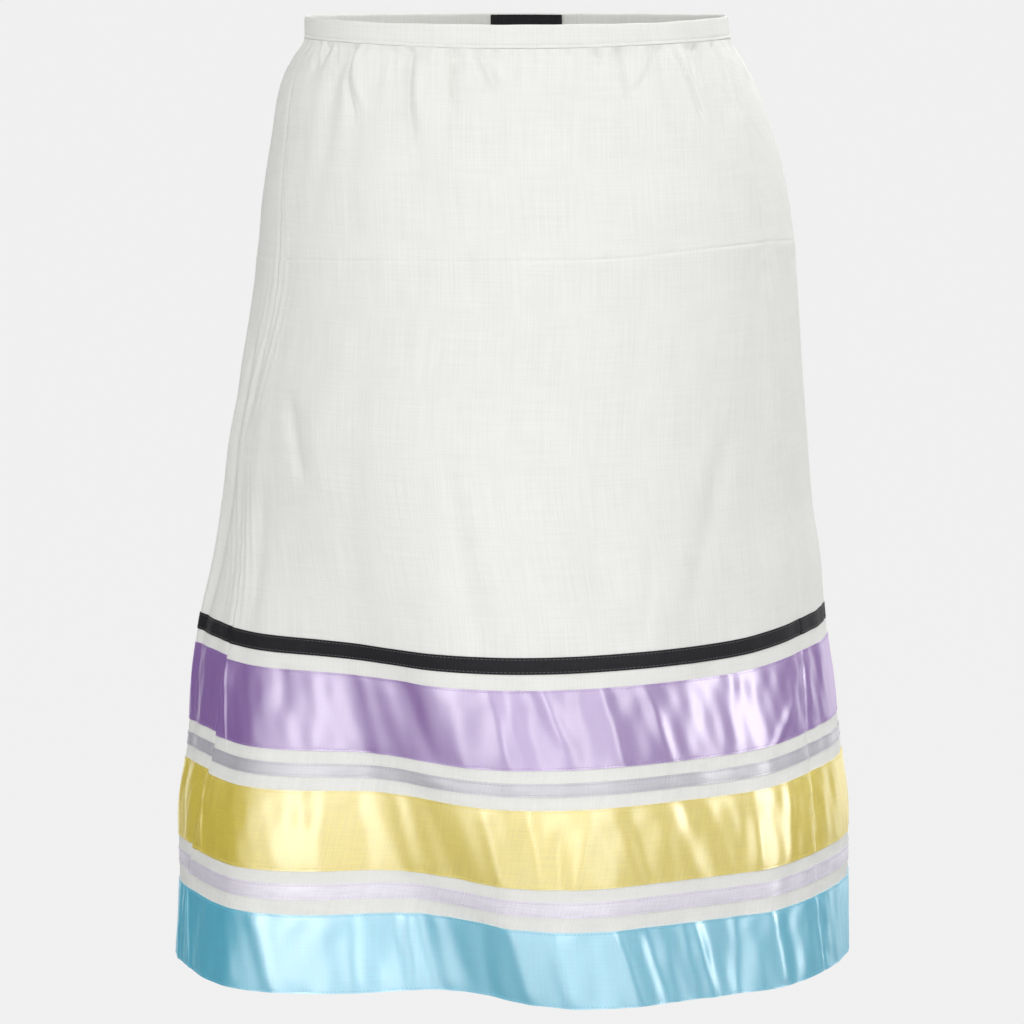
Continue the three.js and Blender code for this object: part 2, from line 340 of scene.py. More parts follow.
FOLDS = (
    # long and soft, in the linen, front
    Fold(-43, 40, -39, 130, 7, -0.6),
    Fold(-25, 45, -22, 120, 8, -0.7),
    Fold(47, 250, 33, 376, 9, -0.9),
    Fold(40, 262, 27, 388, 10, 0.5),
    Fold(-14, 262, -6.5, 388, 6, -1.2),
    Fold(-9, 280, -1.5, 392, 7, 0.8),
    Fold(-53, 240, -47, 292, 6, -1.2),
    Fold(-47, 236, -40, 300, 8, 0.5),
    Fold(-60, 300, -56, 388, 6, -0.7),
    Fold(-66, 180, -70, 260, 4, -0.7),
    Fold(26, 150, 25, 240, 6, -0.5),
    Fold(26, 325, 23.5, 385, 4, -0.6),
    Fold(-36, 200, -33, 380, 10, -0.6),
    Fold(10, 90, 12, 210, 12, -0.4),
    Fold(-74, 200, -76, 300, 4, -1.2),
    Fold(-75, 280, -79, 410, 5, -1.4),
    Fold(-81, 180, -86, 420, 7, 1.2),
    Fold(-83, 230, -88, 330, 3.6, -0.9),
    Fold(-88, 240, -92, 440, 6, -1.2),
    Fold(60, 120, 55, 300, 9, -0.6),
    # the same at the back
    Fold(96, 200, 104, 400, 9, -1.2),
    Fold(104, 190, 112, 380, 9, 0.9),
    Fold(126, 90, 121, 250, 10, -0.8),
    Fold(141, 210, 149, 392, 9, -1.1),
    Fold(163, 240, 158, 388, 8, 0.9),
    Fold(178, 60, 176, 190, 10, -0.7),
    Fold(197, 230, 204, 392, 9, -1.2),
    Fold(214, 120, 219, 300, 10, -0.7),
    Fold(233, 220, 228, 390, 9, -1.1),
    Fold(246, 180, 251, 360, 9, 0.8),
)

CREASES = (
    Crease(-2, 368.5, 11, 369.5, 1.6, -0.35),
    Crease(-38, 232, -20, 226, 2.2, -0.3),
    Crease(14, 262, 30, 268, 2.4, -0.3),
    Crease(55, 205, 72, 207, 1.8, -0.35),
    Crease(30, 92, 46, 96, 2.4, -0.25),
    Crease(108, 246, 132, 252, 2.2, -0.35),
    Crease(158, 300, 178, 296, 2.2, -0.35),
    Crease(206, 230, 228, 238, 2.4, -0.35),
    Crease(240, 330, 258, 326, 2.0, -0.3),
)


@dataclass(frozen=True)
class SeamLook:
    """How a side seam shows: a sewn groove, the turnings' soft ridge, puckers, and wrinkles along it."""

    phase: int                    # sets one seam's unevenness apart from the other's
    wrinkle: float                # the drawn wrinkles' depth
    groove: float = 0.35
    groove_width: float = 1.3
    ridge: float = 0.1
    ridge_away: float = 5.5
    ridge_width: float = 4.0
    near_pucker: float = 0.2
    near_width: float = 6.0
    far_pucker: float = 0.16
    far_width: float = 15.0
    wrinkle_width: float = 17.0

    def relief(self, away: np.ndarray, level: np.ndarray) -> np.ndarray:
        """How far the seam moves the cloth out.

        Args:
            away: How far round from the seam each place lies.
            level: Levels of the places.

        Returns:
            The rise in millimetres, of the same shape.
        """
        side = self.phase
        groove = -self.groove * hump(away, self.groove_width)
        ridge = self.ridge * hump(np.abs(away) - self.ridge_away, self.ridge_width)
        beat = np.sin(level * 0.55 + 1.7 * np.sin(level * 0.061 + side))
        beat = beat * np.sin(level * 0.083 + 2 * side)
        lean = np.sin(level * 0.33 - np.abs(away) * 0.16 + side)
        puckers = self.near_pucker * beat * hump(away, self.near_width)
        puckers = puckers + self.far_pucker * lean * hump(away, self.far_width)
        drawn = np.sin(away * 0.92 + 1.5 * np.sin(level * 0.027 + side))
        drawn = drawn * (0.6 + 0.4 * np.sin(level * 0.041 + 3 * side))
        drawn = drawn * self.wrinkle * soft_step(level, 60, 200)
        wrinkles = drawn * hump(away, self.wrinkle_width) * (1 - 0.75 * soft_step(level, 375, 405))
        return groove + ridge + puckers + wrinkles


SEAM_LOOKS = (SeamLook(phase=0, wrinkle=0.34), SeamLook(phase=1, wrinkle=0.15))      # left, right
SEAM_OPENING = 12        # how far below the band the seams fully show


@dataclass(frozen=True)
class SkirtForm:
    """The surface that all the cloth lies on, in millimetres."""

    length: float = 615.0
    band_height: float = 13.0
    flute_start: float = 235.0       # the level where the flutes begin
    flute_growth: float = 1.2
    ribbon_zone: float = 221.0       # from the first ribbon to the hem
    edge_softness: float = 0.18      # how softly the pinched sides turn
    gather_opening: float = 5.0      # how far below the band the gathers are fully open
    crease_opening: float = 3.5      # the same for creases
    gather_depth: float = 2.6        # times the rise of each fold at the waistband
    fold_depth: float = 1.35         # the same for the linen's folds
    ribbon_depth: float = 1.8        # the same for the ribbons' ripples
    pleat_depth: float = 0.55
    pleat_reach: float = 10.0
    pleat_count: int = 67
    storage_depth: float = 0.9
    storage_ridge: float = 0.6
    wave_seed: int = 29

    def bare_point(self, angle: np.ndarray, level: np.ndarray,
                   gathers_out: np.ndarray | float = 0.0) -> np.ndarray:
        """The form's point before its gathers.

        Args:
            angle: Angles round the body, in degrees.
            level: Levels down the cloth.
            gathers_out: How far the gathers move each point away from the middle.

        Returns:
            Points, with x, y and z in the last axis.
        """
        grown = (level - self.flute_start) / (self.length - self.flute_start)
        growth = np.maximum(0, grown) ** self.flute_growth
        above_hem = (self.length - level) / self.ribbon_zone
        out = np.zeros_like(level) + gathers_out
        lift = np.zeros_like(level)
        for flute in FLUTES:
            strength = growth * hump(turn_between(angle, flute.angle - flute.swing * above_hem), flute.width)
            out = out + flute.out * strength
            lift = lift + flute.lift * strength
        forward, sideways = np.cos(np.radians(angle)), np.sin(np.radians(angle))
        front_hang, left_hang, right_hang, back_hang = np.moveaxis(HANG.at(level), -1, 0)
        hang = np.where(sideways < 0, left_hang, right_hang) * sideways**4
        hang = hang + np.where(forward > 0, front_hang, back_hang) * forward**4
        drop = level - hang - lift
        left, right, front, back, pinch_left, pinch_right = np.moveaxis(SECTIONS.at(drop), -1, 0)
        half_width = np.where(sideways < 0, left, right)
        pinch = np.where(sideways < 0, pinch_left, pinch_right)
        turn = np.hypot(forward, self.edge_softness * sideways)
        half_depth = np.where(forward > 0, front, back) * turn ** (pinch - 1)
        return np.stack([(half_width + out) * sideways, -(half_depth + out) * forward, -drop], -1)

    def gathers(self, angle: np.ndarray, level: np.ndarray) -> np.ndarray:
        """All the gathers together.

        Args:
            angle: Angles of the places.
            level: Levels of the places.

        Returns:
            How far they move the form out.
        """
        below = level - self.band_height
        out = np.zeros_like(level)
        for gather in GATHERS:
            across = hump(turn_between(angle, gather.angle), gather.width)
            out = out + gather.out * across * hump(below, gather.length)
        return out * soft_step(below, 0, self.gather_opening)

    def normal(self, angle: np.ndarray, level: np.ndarray) -> np.ndarray:
        """The form's outward normal, taken without its gathers.

        Args:
            angle: Angles of the places.
            level: Levels of the places.

        Returns:
            Unit vectors in the last axis.
        """
        step = 0.5
        across = self.bare_point(angle + step, level) - self.bare_point(angle - step, level)
        down = self.bare_point(angle, level + step) - self.bare_point(angle, level - step)
        found = np.cross(down, across)
        return found / np.linalg.norm(found, axis=-1, keepdims=True)

    def per_degree(self, angle: np.ndarray, level: np.ndarray) -> np.ndarray:
        """How far along the cloth one degree reaches."""
        reach = self.bare_point(angle + 0.5, level) - self.bare_point(angle - 0.5, level)
        return np.linalg.norm(reach, axis=-1)

    def seam_relief(self, angle: np.ndarray, level: np.ndarray, per_degree: np.ndarray) -> np.ndarray:
        """Both side seams together.

        Args:
            angle: Angles of the places.
            level: Levels of the places.
            per_degree: How far one degree reaches there.

        Returns:
            How far the seams move the cloth out.
        """
        seams = SEAMS.at(level)
        opening = soft_step(level, self.band_height, self.band_height + SEAM_OPENING)
        relief = np.zeros_like(level)
        for column, seam in enumerate(SEAM_LOOKS):
            away = turn_between(angle, seams[..., column]) * per_degree
            relief = relief + seam.relief(away, level) * opening
        return relief

    def storage_relief(self, angle: np.ndarray, level: np.ndarray) -> np.ndarray:
        """The sharp line left by folding the skirt in half, on its broad low ridge.

        Args:
            angle: Angles of the places.
            level: Levels of the places.

        Returns:
            How far the line and its ridge move the cloth out.
        """
        line = STORAGE_LINE.at(turn_between(angle, 85) + 85)[..., 0]
        facing = np.clip(np.cos(np.radians(angle + 12)), 0, 1)
        depth = (0.8 + 0.2 * np.sin(np.radians(angle * 7) + 1)) * (0.3 + 0.7 * facing**1.5)
        sharp = -self.storage_depth * depth * hump(level - line, 0.85)
        return sharp + self.storage_ridge * hump(level - line - 2, 9)

    def waves(self, angle: np.ndarray, level: np.ndarray) -> np.ndarray:
        """Slight unevenness all over the cloth, stronger towards the hem.

        Args:
            angle: Angles of the places.
            level: Levels of the places.

        Returns:
            How far it moves the cloth out.
        """
        chance = np.random.default_rng(self.wave_seed)
        relief = np.zeros_like(level)
        for count in chance.integers(9, 64, 26):
            lean = chance.uniform(-0.02, 0.02)
            phase = chance.uniform(0, 2 * math.pi)
            size = chance.uniform(0.5, 1)
            relief = relief + size / count * np.cos(np.radians(count * angle) + lean * level + phase)
        return relief * (0.9 + 2.6 * soft_step(level, 180, 420))

    def relief(self, angle: np.ndarray, level: np.ndarray) -> np.ndarray:
        """All the folds, creases, seams and waves together.

        Args:
            angle: Angles of the places.
            level: Levels of the places.

        Returns:
            How far they move the cloth out along its normal.
        """
        per_degree = self.per_degree(angle, level)
        total = self.seam_relief(angle, level, per_degree)
        total = total + self.storage_relief(angle, level) + self.waves(angle, level)
        pleats = np.sin(np.radians(angle * self.pleat_count) + 2.2 * np.sin(np.radians(angle * 9)))
        total = total + self.pleat_depth * pleats * hump(level - self.band_height, self.pleat_reach)
        for folds, depth in ((GATHER_FOLDS, self.gather_depth), (FOLDS, self.fold_depth),
                             (RIBBON_FOLDS, self.ribbon_depth)):
            for fold in folds:
                total = total + depth * fold.relief(angle, level, per_degree)
        for crease in CREASES:
            total = total + crease.relief(angle, level)
        return total * soft_step(level, self.band_height, self.band_height + self.crease_opening)

    def raised(self, angle: np.ndarray, level: np.ndarray, out: np.ndarray | float) -> np.ndarray:
        """Points of the gathered and creased cloth.

        Args:
            angle: Angles of the places.
            level: Levels of the places.
            out: How far out along the normal they lie.

        Returns:
            Points, with x, y and z in the last axis.
        """
        angle, level = np.broadcast_arrays(np.asarray(angle, float), np.asarray(level, float))
        away = (self.relief(angle, level) + out)[..., None]
        return self.bare_point(angle, level, self.gathers(angle, level)) + away * self.normal(angle, level)

    def plain(self, angle: np.ndarray, level: np.ndarray, out: np.ndarray | float) -> np.ndarray:
        """Points of the smooth form, for the firm waistband and its label.

        Args:
            angle: Angles of the places.
            level: Levels of the places.
            out: How far out along the normal they lie.

        Returns:
            Points, with x, y and z in the last axis.
        """
        angle, level = np.broadcast_arrays(np.asarray(angle, float), np.asarray(level, float))
        away = (np.zeros_like(level) + out)[..., None]
        return self.bare_point(angle, level) + away * self.normal(angle, level)


# Ripples of the ribbons and the linen they are sewn to: places and sizes as for the folds above
RIBBON_FOLDS = (
    # purple, front
    Fold(-46.6, 408, -44.8, 440, 6, -0.55),
    Fold(-40, 404, -38, 468, 7.5, 0.55),
    Fold(-30.5, 402, -25.5, 468, 6.4, 0.6),
    Fold(-23, 404, -13, 470, 13.1, -1.1),
    Fold(-11.5, 412, -7.5, 468, 6.4, 0.4),
    Fold(-5.0, 408, -1.0, 462, 4.5, 0.45),
    Fold(0.4, 406, 4.6, 466, 8.6, -0.7),
    Fold(3.4, 406, 8.6, 450, 5.6, 0.55),
    Fold(10.4, 412, 12.6, 466, 7.5, -0.5),
    Fold(14.2, 406, 18.8, 468, 5.2, 0.6),
    Fold(22, 408, 28, 466, 4.9, 0.35),
    Fold(34, 408, 33, 466, 11.2, -0.5),
    Fold(41.5, 404, 41.2, 468, 6.8, 0.5),
    Fold(58.5, 440, 49, 470, 5.6, 0.45),
    # yellow, front
    Fold(-40.6, 482, -38.6, 512, 5.6, -0.5),
    Fold(-36.5, 480, -34.8, 545, 7.5, 0.5),
    Fold(-23, 480, -18, 544, 6.4, 0.6),
    Fold(-15.5, 480, -9.5, 546, 12.2, -0.8),
    Fold(-5.5, 484, -1.5, 545, 5.2, 0.5),
    Fold(1.8, 482, 3.8, 544, 5.6, 0.55),
    Fold(6.4, 500, 7.4, 544, 4.9, -0.5),
    Fold(12.4, 486, 9, 540, 6.8, 0.4),
    Fold(18.8, 484, 23.4, 544, 7.5, -0.5),
    Fold(29, 482, 37, 544, 9.4, -0.6),
    Fold(44, 480, 44.8, 544, 6.4, 0.55),
    Fold(53.5, 484, 52.8, 542, 5.6, 0.6),
    # blue, front
    Fold(-47, 560, -41.6, 620, 6.8, 0.65),
    Fold(-30, 560, -28, 620, 6.4, 0.59),
    Fold(-20.8, 558, -17.8, 620, 6, 0.91),
    Fold(-15.6, 558, -11, 620, 6.4, 0.65),
    Fold(-6, 560, -4, 620, 7.5, -0.78),
    Fold(-1.4, 558, 3.2, 620, 6, 0.72),
    Fold(5.4, 560, 9.4, 620, 6, 0.65),
    Fold(11.4, 562, 13.4, 620, 6.8, -0.78),
    Fold(15.4, 560, 20.4, 620, 5.6, 0.65),
    Fold(21, 560, 26, 620, 6.8, -0.78),
    Fold(30.4, 560, 35.6, 622, 6, 0.91),
    Fold(40, 560, 41, 620, 6.8, -0.65),
    Fold(47, 560, 52, 620, 6.4, 0.78),
    # all three, round the back
    Fold(76, 404, 78, 470, 11.2, 0.3),
    Fold(83, 480, 80, 545, 12, -0.3),
    Fold(92, 400, 97, 620, 9.4, 0.7),
    Fold(104, 404, 101, 470, 6.8, -0.6),
    Fold(110, 480, 114, 546, 7.5, 0.6),
    Fold(120, 400, 117, 620, 9.4, -0.8),
    Fold(127, 404, 130, 468, 6.8, 0.6),
    Fold(138, 482, 135, 545, 8.2, 0.6),
    Fold(146, 400, 151, 620, 9.8, 0.8),
    Fold(155, 558, 158, 620, 6.8, -0.6),
    Fold(166, 404, 163, 470, 7.5, -0.7),
    Fold(172, 480, 176, 545, 7.9, 0.6),
    Fold(184, 400, 181, 620, 9.4, 0.7),
    Fold(193, 558, 196, 620, 7.1, 0.6),
    Fold(200, 404, 204, 470, 7.9, -0.7),
    Fold(212, 480, 209, 546, 7.5, 0.6),
    Fold(222, 400, 226, 620, 9.8, -0.8),
    Fold(234, 404, 231, 470, 7.1, 0.6),
    Fold(243, 480, 247, 545, 7.9, 0.6),
    Fold(256, 400, 253, 620, 9, 0.7),
    Fold(266, 556, 269, 620, 6.8, -0.6),
    Fold(276, 404, 274, 545, 7.9, 0.6),
    # the puckered fold beside the left seam, one to each wide ribbon
    Fold(-62.2, 410, -59.6, 466, 1.3, 0.55),
    Fold(-66.6, 486, -64.6, 540, 1.3, 0.55),
    Fold(-73, 560, -69, 620, 1.5, 0.6),
    Fold(-77.5, 560, -79, 620, 1.5, 0.5),
)


# ---- Meshes ----


def rows_between(spans: Sequence[tuple[float, float, float]]) -> np.ndarray:
    """Levels for rows of faces.

    Args:
        spans: Each span's start, end, and the longest step in it.

    Returns:
        The levels from the first start to the last end.
    """
    levels = [spans[0][0]]
    for start, end, step in spans:
        levels.extend(np.linspace(start, end, max(2, math.ceil((end - start) / step) + 1))[1:])
    return np.array(levels)


def make_mesh(name: str, points: np.ndarray, faces: np.ndarray, places: np.ndarray) -> bpy.types.Object:
    """A smooth mesh object whose sharp rims stay crisp.

    Args:
        name: The object's name.
        points: Vertices in millimetres.
        faces: Corner numbers, four to a face.
        places: Each vertex's place on the flat cloth, in millimetres.

    Returns:
        The object, linked to the scene.
    """
    mesh = bpy.data.meshes.new(name)
    mesh.from_pydata((points * MM).tolist(), [], faces.tolist())
    mesh.uv_layers.new(name=CLOTH_MAP)
    corners = np.zeros(len(mesh.loops), np.int32)
    mesh.loops.foreach_get("vertex_index", corners)
    mesh.uv_layers[CLOTH_MAP].data.foreach_set("uv", (places[corners] * MM).astype(np.float32).ravel())
    mesh.polygons.foreach_set("use_smooth", np.ones(len(mesh.polygons), bool))
    mesh.set_sharp_from_angle(angle=RIM_ANGLE)
    mesh.update()
    made = bpy.data.objects.new(name, mesh)
    bpy.context.scene.collection.objects.link(made)
    return made


def arc_lengths(form: SkirtForm, angles: np.ndarray, levels: np.ndarray) -> np.ndarray:
    """How far along the cloth each column lies from the centre of its row.

    Args:
        form: The skirt's form.
        angles: Angles of a grid, columns by rows.
        levels: Levels of the same grid.

    Returns:
        Distances in millimetres, of the same shape.
    """
    points = form.bare_point(angles, levels)
    steps = np.linalg.norm(np.diff(points, axis=0), axis=-1)
    along = np.concatenate([np.zeros((1, steps.shape[1])), np.cumsum(steps, axis=0)])
    return along - along[len(along) // 2]


def cloth_wall(name: str, outer: np.ndarray, inner: np.ndarray, places: np.ndarray) -> bpy.types.Object:
    """A thin closed wall of cloth from two grids of points.

    Args:
        name: The object's name.
        outer: The outer face's points, columns by rows by three.
        inner: The inner face's, of the same shape.
        places: Places on the flat cloth, columns by rows by two.

    Returns:
        The object.
    """
    columns, rows = outer.shape[:2]
    number = np.arange(columns * rows).reshape(columns, rows)
    a, b = number[:-1, :-1].ravel(), number[:-1, 1:].ravel()
    c, d = number[1:, 1:].ravel(), number[1:, :-1].ravel()
    behind = columns * rows
    faces = [np.stack([a, b, c, d], 1), np.stack([a, d, c, b], 1) + behind]
    for edge in (number[:, 0], number[::-1, -1], number[0, ::-1], number[-1, :]):
        faces.append(np.stack([edge[:-1], edge[1:], edge[1:] + behind, edge[:-1] + behind], 1))
    points = np.concatenate([outer.reshape(-1, 3), inner.reshape(-1, 3)])
    flat = places.reshape(-1, 2)
    return make_mesh(name, points, np.concatenate(faces), np.concatenate([flat, flat]))


@dataclass(frozen=True)
class StitchShape:
    """One machine stitch: a short tapered bead of thread."""

    length: float = 2.1
    pitch: float = 2.7
    radius: float = 0.2

    def sew(self, name: str, centres: np.ndarray, along: np.ndarray, outward: np.ndarray) -> bpy.types.Object:
        """All the stitches of some lines as one mesh.

        Args:
            name: The object's name.
            centres: The stitches' middles, in millimetres.
            along: Unit vectors along each line.
            outward: Unit vectors out of the cloth.

        Returns:
            The object.
        """
        sideways = np.cross(outward, along)
        stations = np.array([-0.5, -0.3, 0.3, 0.5]) * self.length
        girths = np.array([0.35, 1.0, 1.0, 0.35]) * self.radius
        heights = np.array([-0.9, 0.15, 0.15, -0.9]) * self.radius
        turns = np.radians(np.array([45, 135, 225, 315]))
        count = len(centres)
        points = np.zeros((count, 4, 4, 3))
        for ring in range(4):
            for corner in range(4):
                points[:, ring, corner] = (
                    centres
                    + along * stations[ring]
                    + outward * (heights[ring] + girths[ring] * math.sin(turns[corner]))
                    + sideways * girths[ring] * math.cos(turns[corner])
                )
        faces = []
        for ring in (0, 4, 8):
            for corner in range(4):
                after = (corner + 1) % 4
                faces.append([ring + corner, ring + after, ring + 4 + after, ring + 4 + corner])
        faces.extend([[3, 2, 1, 0], [12, 13, 14, 15]])
        shifted = (np.arange(count) * 16)[:, None, None] + np.array(faces)[None]
        flat = points.reshape(-1, 3)
        return make_mesh(name, flat, shifted.reshape(-1, 4), flat[:, [0, 2]])


# ---- Node trees ----


def put(tree: bpy.types.NodeTree, kind: str, **settings: object) -> bpy.types.Node:
    """Adds a node.

    Args:
        tree: The node tree.
        kind: The node's type.
        **settings: The node's own settings by name.

    Returns:
        The node.
    """
    node = tree.nodes.new(kind)
    for name, value in settings.items():
        setattr(node, name, value)
    return node


Feed = bpy.types.NodeSocket | float


def feed(tree: bpy.types.NodeTree, value: Feed, socket: bpy.types.NodeSocket) -> None:
    """Links a socket to another, or sets it to a number.

    Args:
        tree: The node tree.
        value: The other socket, or the number.
        socket: The socket to feed.
    """
    if isinstance(value, bpy.types.NodeSocket):
        tree.links.new(value, socket)
    else:
        socket.default_value = value


def work_out(tree: bpy.types.NodeTree, operation: str, first: Feed, second: Feed = 0.0) \
        -> bpy.types.NodeSocket:
    """A Math node.

    Args:
        tree: The node tree.
        operation: The Math node's operation.
        first: Its first value.
        second: Its second value.

    Returns:
        The node's result.
    """
    node = put(tree, "ShaderNodeMath", operation=operation)
    feed(tree, first, node.inputs[0])
    feed(tree, second, node.inputs[1])
    return node.outputs[0]


def stretched_noise(tree: bpy.types.NodeTree, place: bpy.types.NodeSocket, scale: tuple[float, float],
                    detail: float = 2.0) -> bpy.types.NodeSocket:
    """Noise that is longer one way than the other.

    Args:
        tree: The node tree.
        place: Places on the cloth, in metres.
        scale: Waves per metre along and down the cloth.
        detail: The noise's octaves.

    Returns:
        Values about 0.5.
    """
    stretch = put(tree, "ShaderNodeVectorMath", operation="MULTIPLY")
    tree.links.new(place, stretch.inputs[0])
    stretch.inputs[1].default_value = (scale[0], scale[1], 1.0)
    noise = put(tree, "ShaderNodeTexNoise", noise_dimensions="2D")
    noise.inputs["Scale"].default_value = 1.0
    noise.inputs["Detail"].default_value = detail
    tree.links.new(stretch.outputs[0], noise.inputs["Vector"])
    return noise.outputs["Fac"]


def start_group(name: str, inputs: Sequence[tuple[str, str, float]], outputs: Sequence[tuple[str, str]]) \
        -> bpy.types.NodeTree:
    """A new shader node group with its sockets.

    Args:
        name: The group's name.
        inputs: Each input's name, socket type and first value.
        outputs: Each output's name and socket type.

    Returns:
        The group's tree.
    """
    tree = bpy.data.node_groups.new(name, "ShaderNodeTree")
    for label, kind, value in inputs:
        socket = tree.interface.new_socket(label, in_out="INPUT", socket_type=kind)
        if kind == "NodeSocketFloat":
            socket.default_value = value
    for label, kind in outputs:
        tree.interface.new_socket(label, in_out="OUTPUT", socket_type=kind)
    put(tree, "NodeGroupInput")
    put(tree, "NodeGroupOutput")
    return tree


class Effect(Enum):
    """The shared effects, each a node group built once."""

    WEAVE = "plain_weave"
    MOTTLE = "soft_mottle"
    FLOATS = "satin_floats"


def weave_group() -> bpy.types.NodeTree:
    """Crossing threads with thick and thin places along them.

    Returns:
        The group's tree.
    """
    tree = start_group(
        Effect.WEAVE.value,
        [("Place", "NodeSocketVector", 0), ("Threads per Metre", "NodeSocketFloat", 1800),
         ("Slubs", "NodeSocketFloat", 0.6)],
        [("Height", "NodeSocketFloat"), ("Tone", "NodeSocketFloat")],
    )
    source, result = tree.nodes["Group Input"], tree.nodes["Group Output"]
    place = source.outputs["Place"]
    split = put(tree, "ShaderNodeSeparateXYZ")
    tree.links.new(place, split.inputs[0])
    pace = work_out(tree, "MULTIPLY", source.outputs["Threads per Metre"], math.pi)
    warp = work_out(tree, "SINE", work_out(tree, "MULTIPLY", split.outputs[0], pace))
    weft = work_out(tree, "SINE", work_out(tree, "MULTIPLY", split.outputs[1], pace))
    threads = work_out(tree, "MULTIPLY", warp, weft)
    down = work_out(tree, "SUBTRACT", stretched_noise(tree, place, (900, 22)), 0.5)
    along = work_out(tree, "SUBTRACT", stretched_noise(tree, place, (22, 1000)), 0.5)
    slubs = work_out(tree, "ADD", down, work_out(tree, "MULTIPLY", along, 0.6))
    slubs = work_out(tree, "MULTIPLY", slubs, source.outputs["Slubs"])
    height = work_out(tree, "ADD", work_out(tree, "MULTIPLY", threads, 0.35), slubs)
    tree.links.new(height, result.inputs["Height"])
    tree.links.new(work_out(tree, "ADD", slubs, 0.5), result.inputs["Tone"])
    return tree


def mottle_group() -> bpy.types.NodeTree:
    """Broad soft patches, as cloth has where it was pressed and handled.

    Returns:
        The group's tree.
    """
    tree = start_group(
        Effect.MOTTLE.value,
        [("Place", "NodeSocketVector", 0), ("Patches per Metre", "NodeSocketFloat", 30)],
        [("Tone", "NodeSocketFloat")],
    )
    source, result = tree.nodes["Group Input"], tree.nodes["Group Output"]
    noise = put(tree, "ShaderNodeTexNoise", noise_dimensions="2D")
    noise.inputs["Detail"].default_value = 4.0
    noise.inputs["Roughness"].default_value = 0.55
    tree.links.new(source.outputs["Place"], noise.inputs["Vector"])
    tree.links.new(source.outputs["Patches per Metre"], noise.inputs["Scale"])
    tree.links.new(noise.outputs["Fac"], result.inputs["Tone"])
    return tree


def floats_group() -> bpy.types.NodeTree:
    """The long floating threads of satin, and the fine ribs of a firm tape.

    Returns:
        The group's tree.
    """
    tree = start_group(
        Effect.FLOATS.value,
        [("Place", "NodeSocketVector", 0), ("Ribs per Metre", "NodeSocketFloat", 1100),
         ("Ribs", "NodeSocketFloat", 0.0)],
        [("Height", "NodeSocketFloat"), ("Tone", "NodeSocketFloat")],
    )
    source, result = tree.nodes["Group Input"], tree.nodes["Group Output"]
    place = source.outputs["Place"]
    split = put(tree, "ShaderNodeSeparateXYZ")
    tree.links.new(place, split.inputs[0])
    pace = work_out(tree, "MULTIPLY", source.outputs["Ribs per Metre"], 2 * math.pi)
    ribs = work_out(tree, "SINE", work_out(tree, "MULTIPLY", split.outputs[0], pace))
    ribs = work_out(tree, "MULTIPLY", ribs, source.outputs["Ribs"])
    lengthwise = stretched_noise(tree, place, (45, 1300))
    upright = stretched_noise(tree, place, (700, 30))
    grain = work_out(tree, "SUBTRACT", work_out(tree, "ADD", lengthwise, upright), 1.0)
    tree.links.new(work_out(tree, "ADD", grain, ribs), result.inputs["Height"])
    tree.links.new(work_out(tree, "ADD", grain, 0.5), result.inputs["Tone"])
    return tree


def place_effect(tree: bpy.types.NodeTree, effect: Effect, **values: float) -> bpy.types.Node:
    """Places a shared effect in a material, fed with the place on the cloth.

    Args:
        tree: The material's node tree.
        effect: Which effect.
        **values: The group's input values, with spaces as underscores.

    Returns:
        The group node.
    """
    node = put(tree, "ShaderNodeGroup", node_tree=bpy.data.node_groups[effect.value])
    spot = put(tree, "ShaderNodeUVMap", uv_map=CLOTH_MAP)
    tree.links.new(spot.outputs[0], node.inputs["Place"])
    for name, value in values.items():
        node.inputs[name.replace("_", " ")].default_value = value
    return node


def start_material(name: str) -> tuple[bpy.types.Material, bpy.types.NodeTree, bpy.types.Node]:
    """A new material with its Principled shader.

    Args:
        name: The material's name.

    Returns:
        The material, its tree and the shader.
    """
    material = bpy.data.materials.new(name)
    material.use_nodes = True
    tree = material.node_tree
    return material, tree, tree.nodes["Principled BSDF"]


def shade_between(tree: bpy.types.NodeTree, tone: Feed, low: tuple[float, float], dark: Sequence[float],
                  light: Sequence[float], socket: bpy.types.NodeSocket) -> None:
    """Feeds a colour that follows a tone.

    Args:
        tree: The node tree.
        tone: The tone, about 0.5.
        low: The tones that give the dark and the light colour.
        dark: The dark colour.
        light: The light colour.
        socket: The colour socket to feed.
    """
    reach = put(tree, "ShaderNodeMapRange")
    feed(tree, tone, reach.inputs["Value"])
    reach.inputs["From Min"].default_value, reach.inputs["From Max"].default_value = low
    mix = put(tree, "ShaderNodeMix", data_type="RGBA")
    tree.links.new(reach.outputs[0], mix.inputs[0])
    mix.inputs[6].default_value = (*dark, 1)
    mix.inputs[7].default_value = (*light, 1)
    tree.links.new(mix.outputs[2], socket)


def bump(tree: bpy.types.NodeTree, height: bpy.types.NodeSocket, depth: float, shader: bpy.types.Node) \
        -> None:
    """Feeds the shader's normal from a height.

    Args:
        tree: The node tree.
        height: The height, about -1 to 1.
        depth: What one unit of it measures, in metres.
        shader: The shader.
    """
    node = put(tree, "ShaderNodeBump")
    node.inputs["Strength"].default_value = 1.0
    node.inputs["Distance"].default_value = depth
    tree.links.new(height, node.inputs["Height"])
    tree.links.new(node.outputs[0], shader.inputs["Normal"])


def around(colour: Sequence[float], share: float) -> tuple[tuple[float, ...], tuple[float, ...]]:
    """A colour a little darker and a little lighter."""
    return tuple(c * (1 - share) for c in colour), tuple(min(1.0, c * (1 + share)) for c in colour)


